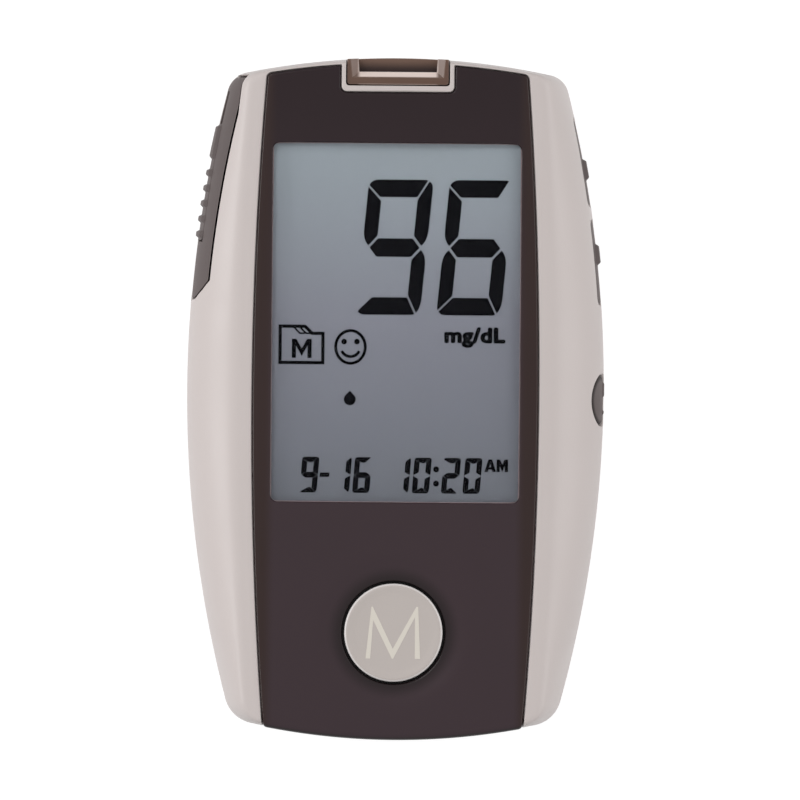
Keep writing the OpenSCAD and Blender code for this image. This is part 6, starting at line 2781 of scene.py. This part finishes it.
@dataclass
class EjectorSpring:
    """The coil spring behind the ejector's pusher, which shortens as the pusher slides."""

    node: Span = field(default_factory=lambda: Span.of("ejector_spring"))
    wire_r: float = 0.15
    turns: int = 7
    close_pitch: float = 0.36
    facets: int = 10
    steps: int = 24
    stop_y: float = 40.9
    travel: float = 4.2

    def coil(self) -> Solid:
        """A tube along a helix whose end turns lie close together."""
        length = self.node.size.y - 2 * self.wire_r
        radius = self.node.size.x / 2 - self.wire_r
        around = np.linspace(0, 2 * math.pi, self.facets, endpoint=False)
        out = radius + self.wire_r * np.cos(around)
        up = self.node.low.y + self.wire_r * (1 + np.sin(around))
        places = [0, 1, self.turns - 1, self.turns]
        heights = [0, self.close_pitch, length - self.close_pitch, length]
        rings = []
        for turn in np.linspace(0, self.turns, self.steps * self.turns + 1):
            a = 2 * math.pi * turn
            x = self.node.middle.x + out * math.cos(a)
            z = self.node.middle.z + out * math.sin(a)
            rings.append(np.column_stack([x, up + np.interp(turn, places, heights), z]))
        return Solid.stack(rings)

    def build(self) -> None:
        """Make the spring on a mesh of its own."""
        look = ("spring_steel", SPRING_STEEL, "ejector_spring")
        spring = make_piece(self.coil(), "ejector_coil", Body.CASING, *look, crease=60.0)
        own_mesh(spring)


INNER_FINISHES: dict[str, Finish] = {
    "dust_gasket": BLACK_FOAM,
    "lcd_cell": LCD_FACE,
    "backlight_panel": LIGHT_GUIDE,
    "display_holder": HOLDER,
    "elastomer_strips": ELASTOMER,
    "main_board": BOARD,
    "board_chips": CHIP_BLACK,
    "buzzer": CHIP_BLACK,
    "main_key_pad": SILICONE,
    "up_plunger": CHIP_BLACK,
    "down_plunger": CHIP_BLACK,
    "light_plunger": CHIP_BLACK,
    "side_switches": CHIP_BLACK,
    "strip_connector": CHIP_BLACK,
    "strip_contacts": GOLD,
    "ejector_pusher": LIGHT_GUIDE,
    "cell_left": CELL_SLEEVE,
    "cell_right": CELL_SLEEVE,
    "battery_springs": SPRING_STEEL,
    "battery_plates": SPRING_STEEL,
    "case_screws": SCREW_STEEL,
    "board_screws": SCREW_STEEL,
}


def dress_inner_pieces() -> None:
    """Give every piece that keeps its construction shape its finish."""
    for node, finish in INNER_FINISHES.items():
        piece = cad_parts[node]
        material = finish.material()
        if piece.material_slots:
            for place in piece.material_slots:
                place.material = material
        else:
            piece.data.materials.append(material)
        LOG.info("%s: finish %s", node, finish.name)


# ---------------------------------------------------------------- studio


@dataclass(frozen=True)
class Lamp:
    """A square soft light: its place and side in metres and its power in watts."""

    name: str
    place: tuple[float, float, float]
    size: float
    power: float


@dataclass
class Studio:
    """A plain pale floor, soft lights and a camera far above the meter."""

    px_per_mm: float = 7.085
    centre: Pair = (0.66, -0.2)
    roll: float = 0.49
    focus_z: float = 12.0
    camera_distance: float = 2500.0
    sensor: float = 36.0
    sky: float = 0.5
    lamps: tuple[Lamp, ...] = (
        Lamp("left_light", (-0.95, 0.1, 0.26), 0.5, 4.05),
        Lamp("right_light", (0.9, 0.1, 0.4), 0.9, 3.85),
        Lamp("high_light", (-0.5, 0.55, 1.15), 0.35, 2.0),
    )
    floor_half: float = 2000.0
    floor_z: float = -0.02
    floor_diffuse: float = 0.3
    floor_glow: float = 0.86
    contact: float = 1.2

    def camera(self) -> None:
        """Set up the camera."""
        data = bpy.data.cameras.new("camera")
        data.sensor_width = self.sensor
        seen = PICTURE_PX / self.px_per_mm
        data.lens = self.sensor * self.camera_distance / seen
        data.clip_end = 20.0
        camera = placed("camera", data)
        x, y = self.centre
        camera.location = Vector((x, y, self.focus_z + self.camera_distance)) * MM
        camera.rotation_euler = (0.0, 0.0, math.radians(self.roll))
        bpy.context.scene.camera = camera

    def light(self) -> None:
        """Add the square soft lights, which face the meter."""
        for lamp in self.lamps:
            data = bpy.data.lights.new(lamp.name, "AREA")
            data.shape = "SQUARE"
            data.size = lamp.size
            data.energy = lamp.power
            shown = placed(lamp.name, data)
            shown.location = lamp.place
            aim = Vector((0, 0, self.focus_z * MM)) - Vector(lamp.place)
            shown.rotation_euler = aim.to_track_quat("-Z", "Y").to_euler()

    def seen_ray(self, graph: Graph) -> Socket:
        """1 for rays from the camera, in a gloss or through glass, else 0."""
        path = graph.node("LightPath")
        seen = path.outputs["Is Camera Ray"]
        seen = graph.math("MAXIMUM", seen, path.outputs["Is Glossy Ray"])
        return graph.math("MAXIMUM", seen, path.outputs["Is Transmission Ray"])

    def world(self) -> None:
        """A white surround for the eye that lights the meter more softly."""
        world = bpy.data.worlds.new("surround")
        graph = Graph.of(world)
        strength = graph.math("MULTIPLY_ADD", self.seen_ray(graph), 1 - self.sky, self.sky)
        light = graph.node("Background", Color=WHITE, Strength=strength)
        graph.node("OutputWorld", Surface=light.outputs[0])
        bpy.context.scene.world = world

    def floor(self) -> None:
        """A white floor that keeps a soft shadow, and that isn't there seen from below."""
        side = self.floor_half
        corners = [(-side, -side), (side, -side), (side, side), (-side, side)]
        sheet = Solid(at_height(np.array(corners), self.floor_z), [(0, 1, 2, 3)])
        mesh = sheet.mesh("floor", MM)
        floor = placed("floor", mesh)
        material = bpy.data.materials.new("floor_paper")
        graph = Graph.of(material)
        paper = graph.node("BsdfDiffuse", Color=(self.floor_diffuse,) * 3 + (1.0,))
        glow = graph.math("MULTIPLY", self.seen_ray(graph), self.floor_glow)
        light = graph.node("Emission", Color=WHITE, Strength=glow)
        both = graph.fed("AddShader", 0, {0: paper.outputs[0], 1: light.outputs[0]})
        behind = graph.node("NewGeometry").outputs["Backfacing"]
        length = graph.node("LightPath").outputs["Ray Length"]
        close = graph.math("LESS_THAN", length, self.contact * MM)
        unseen = graph.math("MAXIMUM", behind, close)
        clear = graph.node("BsdfTransparent").outputs[0]
        top = graph.fed("MixShader", 0, {0: unseen, 1: both, 2: clear})
        graph.node("OutputMaterial", Surface=top)
        mesh.materials.append(material)
        floor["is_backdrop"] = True

    def build(self) -> None:
        """Set up the whole studio."""
        bpy.context.scene.view_settings.view_transform = "Standard"
        self.camera()
        self.world()
        self.floor()
        self.light()


def main() -> None:
    """Build the meter piece by piece, then the studio."""
    logging.basicConfig(level=logging.INFO, format="%(name)s: %(message)s")
    cad_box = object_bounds()
    form = CasingForm()
    casing = Casing(form)
    casing.build()
    cover = FrontCover(form, casing)
    cover.build()
    DisplayContent(casing.deck_top + cover.film_t).build()
    MainKey().build()
    LongKey(form, "up_key", Body.UP_KEY, 0.417).build()
    LongKey(form, "down_key", Body.DOWN_KEY, 0.6).build()
    LightKey(form).build()
    Track(form).build()
    StripPort(form).build()
    BatteryDoor().build()
    EjectorSpring().build()
    dress_inner_pieces()
    Studio().build()
    boxes = {"cad": cad_box, "scene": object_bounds()}
    json.dumps(boxes, default=lambda corner: list(corner))


if __name__ == "__main__":
    main()
